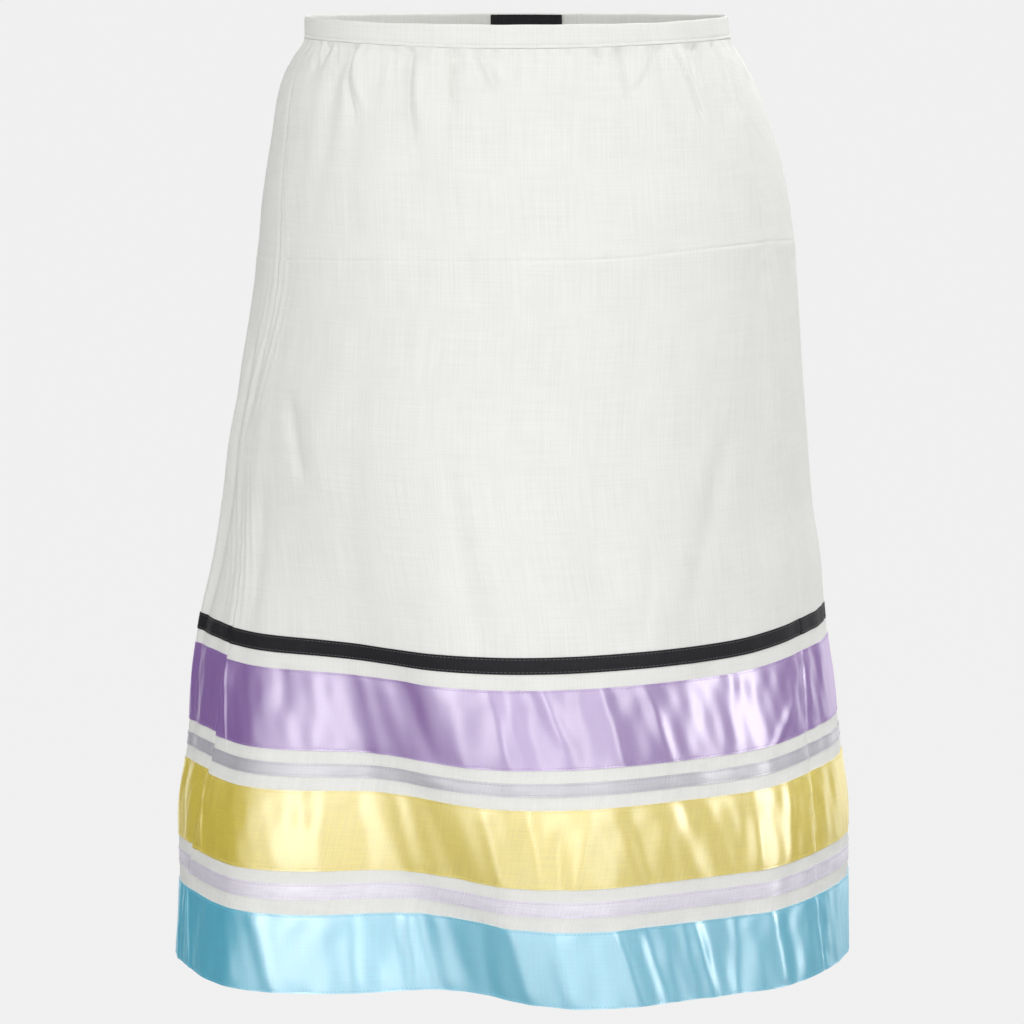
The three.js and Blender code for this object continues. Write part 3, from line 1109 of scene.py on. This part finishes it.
@dataclass(frozen=True)
class LinenFinish:
    """Off-white linen: matt, with uneven threads both ways."""

    name: str = "linen"
    colour: tuple[float, float, float] = (0.835, 0.84, 0.808)
    threads_per_metre: float = 1700.0
    patches_per_metre: float = 34.0
    unevenness: float = 0.045        # how far the shades lie from the colour
    thread_depth: float = 0.00011
    roughness: float = 0.9

    def material(self) -> bpy.types.Material:
        """Makes the material.

        Returns:
            The material.
        """
        material, tree, shader = start_material(self.name)
        weave = place_effect(tree, Effect.WEAVE, Threads_per_Metre=self.threads_per_metre, Slubs=1.0)
        mottle = place_effect(tree, Effect.MOTTLE, Patches_per_Metre=self.patches_per_metre)
        spread = work_out(tree, "MULTIPLY", work_out(tree, "SUBTRACT", mottle.outputs["Tone"], 0.5), 0.5)
        tone = work_out(tree, "ADD", weave.outputs["Tone"], spread)
        dark, light = around(self.colour, self.unevenness)
        shade_between(tree, tone, (0.1, 0.9), dark, light, shader.inputs["Base Color"])
        shader.inputs["Roughness"].default_value = self.roughness
        shader.inputs["Specular IOR Level"].default_value = 0.25
        shader.inputs["Sheen Weight"].default_value = 0.08
        shader.inputs["Sheen Roughness"].default_value = 0.5
        bump(tree, weave.outputs["Height"], self.thread_depth, shader)
        return material


@dataclass(frozen=True)
class SatinFinish:
    """Shiny satin ribbon, whose threads float along it, so that its highlights spread up and down it."""

    name: str
    colour: tuple[float, float, float]
    roughness: float = 0.38
    shine: float = 1.0
    ior: float = 2.5
    anisotropy: float = 0.5
    upright: float = 0.25            # a quarter turn, which stretches the highlight down the ribbon
    unevenness: float = 0.09
    float_depth: float = 0.000012

    def material(self) -> bpy.types.Material:
        """Makes the material.

        Returns:
            The material.
        """
        material, tree, shader = start_material(self.name)
        floats = place_effect(tree, Effect.FLOATS, Ribs=0.0)
        dark, light = around(self.colour, self.unevenness)
        shade_between(tree, floats.outputs["Tone"], (0.1, 0.9), dark, light, shader.inputs["Base Color"])
        shader.inputs["Roughness"].default_value = self.roughness
        shader.inputs["Anisotropic"].default_value = self.anisotropy
        shader.inputs["Anisotropic Rotation"].default_value = self.upright
        shader.inputs["IOR"].default_value = self.ior
        shader.inputs["Specular IOR Level"].default_value = self.shine
        bump(tree, floats.outputs["Height"], self.float_depth, shader)
        return material


@dataclass(frozen=True)
class RibbedFinish:
    """Firm ribbed tape, for the dark ribbon and the label."""

    name: str
    colour: tuple[float, float, float]
    ribs_per_metre: float = 1100.0
    roughness: float = 0.55
    unevenness: float = 0.3
    rib_depth: float = 0.0001

    def material(self) -> bpy.types.Material:
        """Makes the material.

        Returns:
            The material.
        """
        material, tree, shader = start_material(self.name)
        floats = place_effect(tree, Effect.FLOATS, Ribs_per_Metre=self.ribs_per_metre, Ribs=0.8)
        dark, light = around(self.colour, self.unevenness)
        shade_between(tree, floats.outputs["Tone"], (0.1, 0.9), dark, light, shader.inputs["Base Color"])
        shader.inputs["Roughness"].default_value = self.roughness
        shader.inputs["Specular IOR Level"].default_value = 0.25
        bump(tree, floats.outputs["Height"], self.rib_depth, shader)
        return material


@dataclass(frozen=True)
class ThreadFinish:
    """Sewing thread, with a slight sheen and a soft mottle."""

    name: str
    colour: tuple[float, float, float]
    patches_per_metre: float = 900.0
    unevenness: float = 0.15

    def material(self) -> bpy.types.Material:
        """Makes the material.

        Returns:
            The material.
        """
        material, tree, shader = start_material(self.name)
        mottle = place_effect(tree, Effect.MOTTLE, Patches_per_Metre=self.patches_per_metre)
        dark, light = around(self.colour, self.unevenness)
        shade_between(tree, mottle.outputs["Tone"], (0.3, 0.7), dark, light, shader.inputs["Base Color"])
        shader.inputs["Roughness"].default_value = 0.5
        shader.inputs["Specular IOR Level"].default_value = 0.5
        return material


# ---- Pieces ----


class Side(Enum):
    """The skirt's two panels."""

    FRONT = "front"
    BACK = "back"


def side_angles(side: Side, columns: int, level: np.ndarray, gap: float, form: SkirtForm) -> np.ndarray:
    """The angles of a side's columns at each level, from seam to seam.

    Args:
        side: Front or back.
        columns: How many columns of faces.
        level: Levels of the rows.
        gap: The space left between the two sides at a seam.
        form: The skirt's form.

    Returns:
        Angles, columns by rows.
    """
    seams = SEAMS.at(level)
    if side is Side.FRONT:
        start, end = seams[:, 0], seams[:, 1]
    else:
        start, end = seams[:, 1], seams[:, 0] + 360
    start = start + gap / 2 / form.per_degree(start, level)
    end = end - gap / 2 / form.per_degree(end, level)
    even = np.linspace(0, 1, columns + 1)[:, None]
    share = even - 0.35 * np.sin(2 * math.pi * even) / (2 * math.pi)      # closer together at the seams
    return start + (end - start) * share


def dress(piece: bpy.types.Object, material: bpy.types.Material, nodes: Sequence[str] = ()) \
        -> bpy.types.Object:
    """Gives a piece its material and its place in the frame.

    Args:
        piece: The piece.
        material: Its material.
        nodes: The CAD nodes that it stands for.

    Returns:
        The piece.
    """
    piece.data.materials.append(material)
    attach(piece, BODY)
    if nodes:
        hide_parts(*nodes)
    LOG.info("%s: %d faces", piece.name, len(piece.data.polygons))
    return piece


@dataclass
class Panels:
    """The linen front and back, from just below the waistband to the hem."""

    form: SkirtForm
    linen: bpy.types.Material
    wall: float = 0.7
    gap: float = 0.06                # between the panels at a seam
    below_band: float = 0.1
    columns: int = 240
    # each cut's width, length and area
    flat: dict[Side, tuple[float, float, float]] = field(default_factory=lambda: {
        Side.FRONT: (0.53, 0.602, 0.256),
        Side.BACK: (0.80, 0.602, 0.388),
    })

    def build(self) -> list[bpy.types.Object]:
        """Makes both panels, with rows close together at the gathers and closest at the storage line.

        Returns:
            The panels.
        """
        levels = rows_between([
            (self.form.band_height + self.below_band, 60, 1.8),
            (60, 140.5, 3.2),
            (140.5, 157, 0.55),
            (157, 392, 4.2),
            (392, self.form.length, 4.0),
        ])
        made = []
        for side in Side:
            angles = side_angles(side, self.columns, levels, self.gap, self.form)
            grid = np.broadcast_to(levels, angles.shape)
            places = np.stack([arc_lengths(self.form, angles, grid), -grid], -1)
            outer = self.form.raised(angles, grid, 0.0)
            inner = self.form.raised(angles, grid, -self.wall)
            piece = cloth_wall(f"{side.value}_linen_panel", outer, inner, places)
            dress(piece, self.linen, [f"{side.value}_panel"])
            made.append(piece)
        return made


@dataclass
class Waistband:
    """The folded linen band, with its sewn line just above the lower edge."""

    form: SkirtForm
    linen: bpy.types.Material
    thread: bpy.types.Material
    proud: float = 0.6               # how far it stands out of the panels' face
    wall: float = 2.4
    columns: int = 430
    sewn_level: float = 11.0
    flat: tuple[float, float] = (0.735, 0.0155)
    stitch: StitchShape = field(default_factory=lambda: StitchShape(length=1.9, pitch=2.5, radius=0.17))

    def section(self) -> tuple[np.ndarray, np.ndarray]:
        """The band's cross-section as a loop, up its outer face, over the fold and down its inner face.

        Returns:
            How far out each point lies, and its level.
        """
        half = self.wall / 2
        middle = self.proud - half
        down = np.array([13.0, 12.6, 12.0, 11.5, 11.1, 10.8, 10.4, 9.8, 8.4, 6.9, 5.2, 3.6, 2.2])
        dent = -0.35 * hump(down - self.sewn_level, 0.45) - 0.3 * hump(down - 13.1, 0.3)
        puff = 0.12 * np.sin(np.pi * np.clip((down - 1.2) / (self.sewn_level - 1.2), 0, 1))
        turns = np.radians(np.arange(0, 181, 22.5))
        fold_out = middle + half * np.cos(turns)
        fold_level = half - half * np.sin(turns)
        out = np.concatenate([self.proud + dent + puff, fold_out, (middle - half) - (dent + puff)[::-1]])
        level = np.concatenate([down, fold_level, down[::-1]])
        return out, level

    def build(self) -> list[bpy.types.Object]:
        """Makes the band and its line of stitches.

        Returns:
            The band and the stitches.
        """
        out, level = self.section()
        angles = np.linspace(0, 360, self.columns, endpoint=False)[:, None]
        grid_angles, grid_levels = np.broadcast_arrays(angles, level[None])
        waver = 0.12 * np.cos(np.radians(grid_angles * 9)) + 0.1 * np.cos(np.radians(grid_angles * 23) + 2)
        points = self.form.plain(grid_angles, grid_levels + waver * (1 - grid_levels / 13), out[None] + waver)
        count = len(out)
        number = np.arange(self.columns * count).reshape(self.columns, count)
        after, below = np.roll(number, -1, axis=0), np.roll(number, -1, axis=1)
        across = np.roll(after, -1, axis=1)
        faces = np.stack([number.ravel(), after.ravel(), across.ravel(), below.ravel()], 1)
        middle = np.full(self.columns, 6.0)
        around_band = np.cumsum(self.form.per_degree(angles[:, 0], middle)) * 360 / self.columns
        fall = np.concatenate([[0.0], np.cumsum(np.hypot(np.diff(out), np.diff(level)))])
        places = np.stack(np.broadcast_arrays(around_band[:, None], fall[None]), -1)
        band = make_mesh("linen_waistband", points.reshape(-1, 3), faces, places.reshape(-1, 2))
        self.close_map(band, around_band[-1] + around_band[0])
        dress(band, self.linen, ["waistband"])
        return [band, self.sew()]

    def close_map(self, band: bpy.types.Object, girth: float) -> None:
        """Carries the cloth map on over the faces that close the ring, where it would run back to its start.

        Args:
            band: The band.
            girth: How far round the band is, in millimetres.
        """
        layer = band.data.uv_layers[CLOTH_MAP].data
        spots = np.zeros(len(layer) * 2, np.float32)
        layer.foreach_get("uv", spots)
        spots = spots.reshape(-1, 4, 2)
        wraps = np.ptp(spots[:, :, 0], axis=1) > girth * MM / 2
        closing = spots[wraps]
        closing[:, :, 0] += np.where(closing[:, :, 0] < girth * MM / 2, girth * MM, 0)
        spots[wraps] = closing
        layer.foreach_set("uv", spots.ravel())

    def sew(self) -> bpy.types.Object:
        """Makes the line of stitches round the band.

        Returns:
            The stitches as one object.
        """
        fine = np.linspace(0, 360, 2881)
        level = np.full_like(fine, self.sewn_level)
        out = self.proud - 0.2
        line = self.form.plain(fine, level, out)
        reach = np.concatenate([[0], np.cumsum(np.linalg.norm(np.diff(line, axis=0), axis=1))])
        spots = np.arange(0.5, reach[-1] / self.stitch.pitch - 0.4) * self.stitch.pitch
        angles = np.interp(spots, reach, fine)
        level = np.full_like(angles, self.sewn_level)
        ahead = self.form.plain(angles + 0.1, level, out) - self.form.plain(angles - 0.1, level, out)
        ahead /= np.linalg.norm(ahead, axis=1, keepdims=True)
        centres = self.form.plain(angles, level, out)
        made = self.stitch.sew("waistband_stitches", centres, ahead, self.form.normal(angles, level))
        return dress(made, self.thread)


@dataclass(frozen=True)
class RibbonCut:
    """One ribbon's sizes and look."""

    name: str
    width: float
    bare: float      # the linen that shows below it
    step: float      # how much higher its back length meets the left seam
    slot: str
    finish: SatinFinish | RibbedFinish
    thread: tuple[float, float, float]


RIBBON_CUTS = (
    RibbonCut("black_ribbon", 10.5, 10, 0.4, "grosgrain",
              RibbedFinish("black_grosgrain", (0.011, 0.0095, 0.013)), thread=(0.11, 0.11, 0.12)),
    RibbonCut("purple_ribbon", 50, 8, 2.4, "purple_satin",
              SatinFinish("purple_satin", (0.31, 0.135, 0.51), ior=2.65), thread=(0.42, 0.29, 0.58)),
    RibbonCut("grey_ribbon", 8.5, 8.5, 2.4, "grey_satin",
              SatinFinish("grey_satin", (0.53, 0.53, 0.58), 0.42, 0.6), thread=(0.46, 0.46, 0.51)),
    RibbonCut("yellow_ribbon", 50, 8, 2.4, "yellow_satin",
              SatinFinish("yellow_satin", (0.90, 0.71, 0.045)), thread=(0.84, 0.74, 0.26)),
    RibbonCut("lilac_ribbon", 10, 9.5, 2.2, "lilac_satin",
              SatinFinish("lilac_satin", (0.80, 0.76, 0.86), 0.42, 0.5), thread=(0.66, 0.61, 0.73)),
    RibbonCut("blue_ribbon", 50, 0, 0, "blue_satin",
              SatinFinish("blue_satin", (0.045, 0.66, 0.97), ior=3.0), thread=(0.25, 0.62, 0.78)),
)


@dataclass
class Ribbons:
    """The six ribbons, each a front and a back length on its panel, sewn along both edges."""

    form: SkirtForm
    wall: float = 0.3
    clearance: float = 0.16          # between the ribbon and the linen under it
    gap: float = 0.06
    sewn_in: float = 1.3             # from a ribbon's edge to its line of stitches
    seam_margin: float = 1.5         # the stitches' gap at a seam
    columns: int = 390
    stitch: StitchShape = field(default_factory=StitchShape)

    def levels(self, cut: RibbonCut) -> np.ndarray:
        """The ribbon's rows of faces, closer together at the edges.

        Args:
            cut: The ribbon.

        Returns:
            How far below the top edge each row lies.
        """
        edge = np.array([0, 0.5, 0.9, 1.3, 1.7, 2.3, 3.2])
        step = 2.9 if cut.width > 20 else 1.6
        middle = rows_between([(edge[-1], cut.width - edge[-1], step)])
        return np.concatenate([edge[:-1], middle, cut.width - edge[-2::-1]])

    def rise(self, cut: RibbonCut, down: np.ndarray, angle: np.ndarray) -> np.ndarray:
        """How far the ribbon's outer face stands off the linen.

        Args:
            cut: The ribbon.
            down: How far below its top edge each point lies.
            angle: The points' angles.

        Returns:
            Distances in millimetres.
        """
        inward = np.minimum(down, cut.width - down)
        tug = 1 + 0.5 * np.sin(np.radians(angle * 47)) + 0.4 * np.sin(np.radians(angle * 83) + down)
        dent = -0.05 * tug * hump(inward - self.sewn_in, 0.8)
        loose = 0.16 * soft_step(inward, 0.5, 9)
        turn = np.radians(angle)
        ripple = (0.11 * np.sin(turn * 53 + 0.1 * down + 1.3 * np.sin(0.07 * down + cut.width))
                  + 0.06 * np.sin(turn * 97 - 0.16 * down)
                  + 0.11 * np.sin(turn * 29 - 0.09 * down + cut.bare))
        return self.clearance + self.wall + dent + loose + ripple * soft_step(inward, 0.5, 8)

    def places(self, cut: RibbonCut, top: float, side: Side) -> tuple[np.ndarray, np.ndarray, np.ndarray]:
        """The points of a ribbon's length.

        Args:
            cut: The ribbon.
            top: Its top edge's level.
            side: Front or back.

        Returns:
            Each point's angle, its level, and how far below the top edge it lies.
        """
        down = self.levels(cut)
        angles = side_angles(side, self.columns, top + down, self.gap, self.form)
        downs = np.broadcast_to(down, angles.shape)
        return angles, self.stepped(cut, angles, top + downs, side), downs

    def stepped(self, cut: RibbonCut, angles: np.ndarray, levels: np.ndarray, side: Side) -> np.ndarray:
        """Levels, with a back length meeting the left seam a little higher."""
        return levels - (cut.step * hump(turn_between(angles, -68), 22) if side is Side.BACK else 0)

    def sew(self, cut: RibbonCut, top: float, thread: bpy.types.Material) -> bpy.types.Object:
        """Makes a ribbon's stitches along both edges, front and back.

        Args:
            cut: The ribbon.
            top: Its top edge's level.
            thread: The thread's material.

        Returns:
            The stitches as one object.
        """
        centres, along, outward = [], [], []
        for side in Side:
            for down in (self.sewn_in, cut.width - self.sewn_in):
                level = np.full(1, top + down)
                fine = side_angles(side, 2400, level, self.seam_margin, self.form)[:, 0]
                levels = self.stepped(cut, fine, np.full_like(fine, top + down), side)
                out = self.rise(cut, np.full_like(fine, down), fine)
                line = self.form.raised(fine, levels, out + 0.06)
                reach = np.concatenate([[0], np.cumsum(np.linalg.norm(np.diff(line, axis=0), axis=1))])
                spots = np.arange(0.5, reach[-1] / self.stitch.pitch - 0.4) * self.stitch.pitch
                found = np.stack([np.interp(spots, reach, line[:, axis]) for axis in range(3)], -1)
                before = np.stack([np.interp(spots - 0.4, reach, line[:, axis]) for axis in range(3)], -1)
                after = np.stack([np.interp(spots + 0.4, reach, line[:, axis]) for axis in range(3)], -1)
                ahead = after - before
                centres.append(found)
                along.append(ahead / np.linalg.norm(ahead, axis=1, keepdims=True))
                angles = np.interp(spots, reach, fine)
                outward.append(self.form.normal(angles, np.full_like(angles, top + down)))
        piece = self.stitch.sew(f"{cut.name}_stitches", *map(np.concatenate, (centres, along, outward)))
        return dress(piece, thread)

    def build(self) -> list[bpy.types.Object]:
        """Makes all the ribbons and their stitches.

        Returns:
            The pieces.
        """
        made = []
        top = self.form.length - sum(cut.width + cut.bare for cut in RIBBON_CUTS)
        for cut in RIBBON_CUTS:
            material = cut.finish.material()
            thread = ThreadFinish(f"{cut.name}_thread", cut.thread).material()
            for side in Side:
                angles, levels, downs = self.places(cut, top, side)
                rise = self.rise(cut, downs, angles)
                outer = self.form.raised(angles, levels, rise)
                inner = self.form.raised(angles, levels, rise - self.wall)
                along = arc_lengths(self.form, angles, levels)
                places = np.stack([along, -downs], -1)
                piece = cloth_wall(f"{cut.name}_{side.value}_length", outer, inner, places)
                dress(piece, material, [f"{cut.name}_{side.value}"])
                made.append(piece)
            made.append(self.sew(cut, top, thread))
            top += cut.width + cut.bare
        return made


@dataclass
class Label:
    """The bare black tape sewn inside the centre back of the waistband."""

    form: SkirtForm
    tape: bpy.types.Material
    thread: bpy.types.Material
    width: float = 48.0
    aside: float = 7.0               # from the centre back towards +X
    top: float = 0.8                 # below the band's top edge
    height: float = 11.5
    outer: float = -2.1              # how far out of the form the tape's back lies
    wall: float = 0.55
    stitch: StitchShape = field(default_factory=lambda: StitchShape(length=1.3, pitch=1.8, radius=0.14))

    def build(self) -> list[bpy.types.Object]:
        """Makes the tape and the stitches down its two ends.

        Returns:
            The tape and the stitches.
        """
        middle = self.top + self.height / 2
        per_degree = float(self.form.per_degree(np.array([180.0]), np.array([middle]))[0])
        centre = 180 - self.aside / per_degree
        across = np.linspace(-0.5, 0.5, 61)[:, None]
        down = np.linspace(0, 1, 15)[None]
        angles, share = np.broadcast_arrays(centre + across * self.width / per_degree, down)
        levels = self.top + share * self.height
        edge = np.minimum(0.5 - np.abs(across), 0.5) * self.width
        belly = 0.28 * soft_step(edge, 1.5, 9) * np.sin(np.pi * share)
        outer = self.form.plain(angles, levels, self.outer - belly)
        inner = self.form.plain(angles, levels, self.outer - self.wall - belly)
        places = np.stack([np.broadcast_to(across, angles.shape) * self.width, -share * self.height], -1)
        piece = cloth_wall("bare_label_tape", outer, inner, places)
        dress(piece, self.tape, ["label"])
        return [piece, self.sew(centre, per_degree)]

    def sew(self, centre: float, per_degree: float) -> bpy.types.Object:
        """Makes the stitches down the tape's ends.

        Args:
            centre: The tape's middle angle.
            per_degree: How far one degree reaches there.

        Returns:
            The stitches.
        """
        levels = np.tile(np.arange(self.top + 1.2, self.top + self.height - 0.8, self.stitch.pitch), 2)
        ends = np.repeat([-1.0, 1.0], len(levels) // 2)
        angles = centre + ends * (self.width / 2 - 1.3) / per_degree
        outward = -self.form.normal(angles, levels)
        centres = self.form.plain(angles, levels, self.outer - self.wall - 0.04)
        ahead = self.form.plain(angles, levels + 0.5, 0) - self.form.plain(angles, levels - 0.5, 0)
        ahead /= np.linalg.norm(ahead, axis=1, keepdims=True)
        made = self.stitch.sew("label_stitches", centres, ahead, outward)
        return dress(made, self.thread)


# ---- Studio ----


class Reach(Enum):
    """What a softbox lights: everything, only matt cloth, or only what shines."""

    ALL = "all"
    MATT = "matt"
    SHINE = "shine"


@dataclass(frozen=True)
class Softbox:
    """A soft studio light, placed by its bearing from the skirt: 0 is the camera's side, 90 is towards +X."""

    name: str
    bearing: float
    height: float
    distance: float
    width: float
    tall: float
    glow: float      # the brightness of its face
    faces: float     # the height that it faces
    reach: Reach = Reach.ALL
    upward: bool = False             # lies flat and faces up instead

    def build(self) -> bpy.types.Object:
        """Makes the light.

        Returns:
            The light, linked to the scene.
        """
        lamp = bpy.data.lights.new(self.name, "AREA")
        lamp.shape = "RECTANGLE"
        lamp.size, lamp.size_y = self.width, self.tall
        lamp.energy = self.glow * math.pi * self.width * self.tall
        made = bpy.data.objects.new(self.name, lamp)
        turn = math.radians(self.bearing)
        made.location = (math.sin(turn) * self.distance, -math.cos(turn) * self.distance, self.height)
        made.rotation_mode = "QUATERNION"
        target = made.location + Vector((0, 0, 1)) if self.upward else Vector((0, 0, self.faces))
        made.rotation_quaternion = (target - made.location).to_track_quat("-Z", "Y")
        made.visible_camera = False
        made.visible_diffuse = self.reach is not Reach.SHINE
        made.visible_glossy = self.reach is not Reach.MATT
        bpy.context.scene.collection.objects.link(made)
        return made


@dataclass
class Studio:
    """The camera, the soft lights, and the plain pale floor."""

    camera_place: tuple[float, float, float] = (-0.0026, -4.0, 0.144)
    camera_dip: float = 6.63
    lens: float = 217.0
    floor_level: float = -1.0
    floor_rings: tuple[float, ...] = (2.0, 12.0, 60.0)
    pale: float = 0.888              # how bright the floor looks
    seen_share: float = 0.98         # how much of that is its own glow, to the camera alone
    horizon_share: float = 0.984     # the world's brightness against it, so that no line parts them
    dim: float = 0.12                # the world's brightness as a light
    softboxes: tuple[Softbox, ...] = (
        # name, bearing, height, distance, width, tall, glow, faces
        Softbox("front_key", 0, 2.1, 2.3, 2.0, 1.6, 2.1, -0.42),
        Softbox("left_key", -84, 1.9, 2.3, 2.0, 1.8, 1.2, -0.42),
        Softbox("right_key", 84, 1.9, 2.3, 2.0, 1.8, 3.3, -0.42),
        Softbox("left_fill", -45, 0.17, 2.8, 2.4, 2.2, 1.15, 0.17, Reach.MATT),
        Softbox("right_fill", 42, 0.17, 2.8, 2.4, 2.2, 1.1, 0.17, Reach.MATT),
        Softbox("left_wall", -47, 0.17, 2.6, 3.64, 2.3, 0.75, 0.17),
        Softbox("left_band", -41, 0.17, 2.4, 1.05, 2.3, 1.5, 0.17, Reach.SHINE),
        Softbox("front_strip", 5, 0.17, 2.5, 0.42, 2.3, 2.2, 0.17, Reach.SHINE),
        Softbox("right_wall", 17.5, 0.17, 2.8, 3.17, 2.3, 0.75, 0.17),
        Softbox("right_strip", 36, 0.17, 2.5, 0.5, 2.3, 1.9, 0.17, Reach.SHINE),
        Softbox("far_right_strip", 80, 0.0, 2.3, 0.34, 1.9, 6.0, 0.0, Reach.SHINE),
        Softbox("low_board", -2, -0.96, 0.86, 1.2, 0.6, 1.0, 0.0, upward=True),
        Softbox("rim_softbox", 146, 0.0, 2.8, 2.2, 2.0, 1.3, 0.0),
        Softbox("back_key", 150, 2.1, 2.3, 2.4, 1.8, 3.6, -0.42),
        Softbox("back_wall", -158, 0.3, 2.6, 1.4, 2.6, 1.6, 0.3),
    )

    def build(self) -> None:
        """Makes everything in the studio."""
        self.add_camera()
        for softbox in self.softboxes:
            softbox.build()
        self.add_floor()
        self.add_world()
        bpy.context.scene.view_settings.view_transform = "Standard"

    def add_camera(self) -> None:
        """The camera, a little above the waist and looking slightly down."""
        lens = bpy.data.cameras.new("camera")
        lens.lens = self.lens
        lens.clip_end = 200
        made = bpy.data.objects.new("camera", lens)
        made.location = self.camera_place
        made.rotation_euler = (math.radians(90 - self.camera_dip), 0, 0)
        bpy.context.scene.collection.objects.link(made)
        bpy.context.scene.camera = made

    def add_floor(self) -> None:
        """A wide pale floor that fills the view and stays darker in the satin's reflections."""
        mesh = bpy.data.meshes.new("floor")
        turns = np.radians(np.arange(0, 360, 5))
        rings = [np.stack([np.cos(turns) * r, np.sin(turns) * r, np.full_like(turns, self.floor_level)], 1)
                 for r in self.floor_rings]
        count = len(turns)
        faces = [list(range(count))]
        for ring in range(len(rings) - 1):
            for step in range(count):
                after = (step + 1) % count
                faces.append([ring * count + step, ring * count + count + step,
                              ring * count + count + after, ring * count + after])
        mesh.from_pydata(np.concatenate(rings).tolist(), [], faces)
        floor = bpy.data.objects.new("floor", mesh)
        bpy.context.scene.collection.objects.link(floor)
        material, tree, shader = start_material("pale_floor")
        shader.inputs["Base Color"].default_value = (0.2, 0.2, 0.2, 1)
        shader.inputs["Roughness"].default_value = 0.9
        shader.inputs["Specular IOR Level"].default_value = 0.1
        rays = put(tree, "ShaderNodeLightPath")
        glow = put(tree, "ShaderNodeEmission")
        glow.inputs["Color"].default_value = (1, 1, 1, 1)
        glow.inputs["Strength"].default_value = self.pale
        both = put(tree, "ShaderNodeMixShader")
        share = work_out(tree, "MULTIPLY", rays.outputs["Is Camera Ray"], self.seen_share)
        feed(tree, share, both.inputs[0])
        tree.links.new(shader.outputs[0], both.inputs[1])
        tree.links.new(glow.outputs[0], both.inputs[2])
        tree.links.new(both.outputs[0], tree.nodes["Material Output"].inputs["Surface"])
        floor.data.materials.append(material)

    def add_world(self) -> None:
        """A pale world to look at, and a dim one for the light that it gives."""
        world = bpy.data.worlds.new("studio")
        world.use_nodes = True
        bpy.context.scene.world = world
        tree = world.node_tree
        background = tree.nodes["Background"]
        rays = put(tree, "ShaderNodeLightPath")
        above_dim = self.pale * self.horizon_share - self.dim
        seen = work_out(tree, "MULTIPLY", rays.outputs["Is Camera Ray"], above_dim)
        feed(tree, work_out(tree, "ADD", seen, self.dim), background.inputs["Strength"])
        background.inputs["Color"].default_value = (1, 1, 1, 1)


def corners(box: tuple[Vector, Vector]) -> list[list[float]]:
    """A box's two corners as plain lists."""
    return [list(box[0]), list(box[1])]


def main() -> None:
    """Builds the skirt and its studio."""
    logging.basicConfig(level=logging.INFO, format="%(name)s: %(message)s")
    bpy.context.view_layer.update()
    Studio().build()
    for make in (weave_group, mottle_group, floats_group):
        make()
    form = SkirtForm()
    linen = LinenFinish().material()
    linen_thread = ThreadFinish("linen_thread", (0.8, 0.8, 0.77)).material()
    tape = RibbedFinish("label_tape", (0.015, 0.015, 0.018), 1400.0, 0.7).material()
    label_thread = ThreadFinish("label_thread", (0.03, 0.03, 0.033)).material()
    Waistband(form, linen, linen_thread).build()
    Panels(form, linen).build()
    Ribbons(form).build()
    Label(form, tape, label_thread).build()


if __name__ == "__main__":
    main()
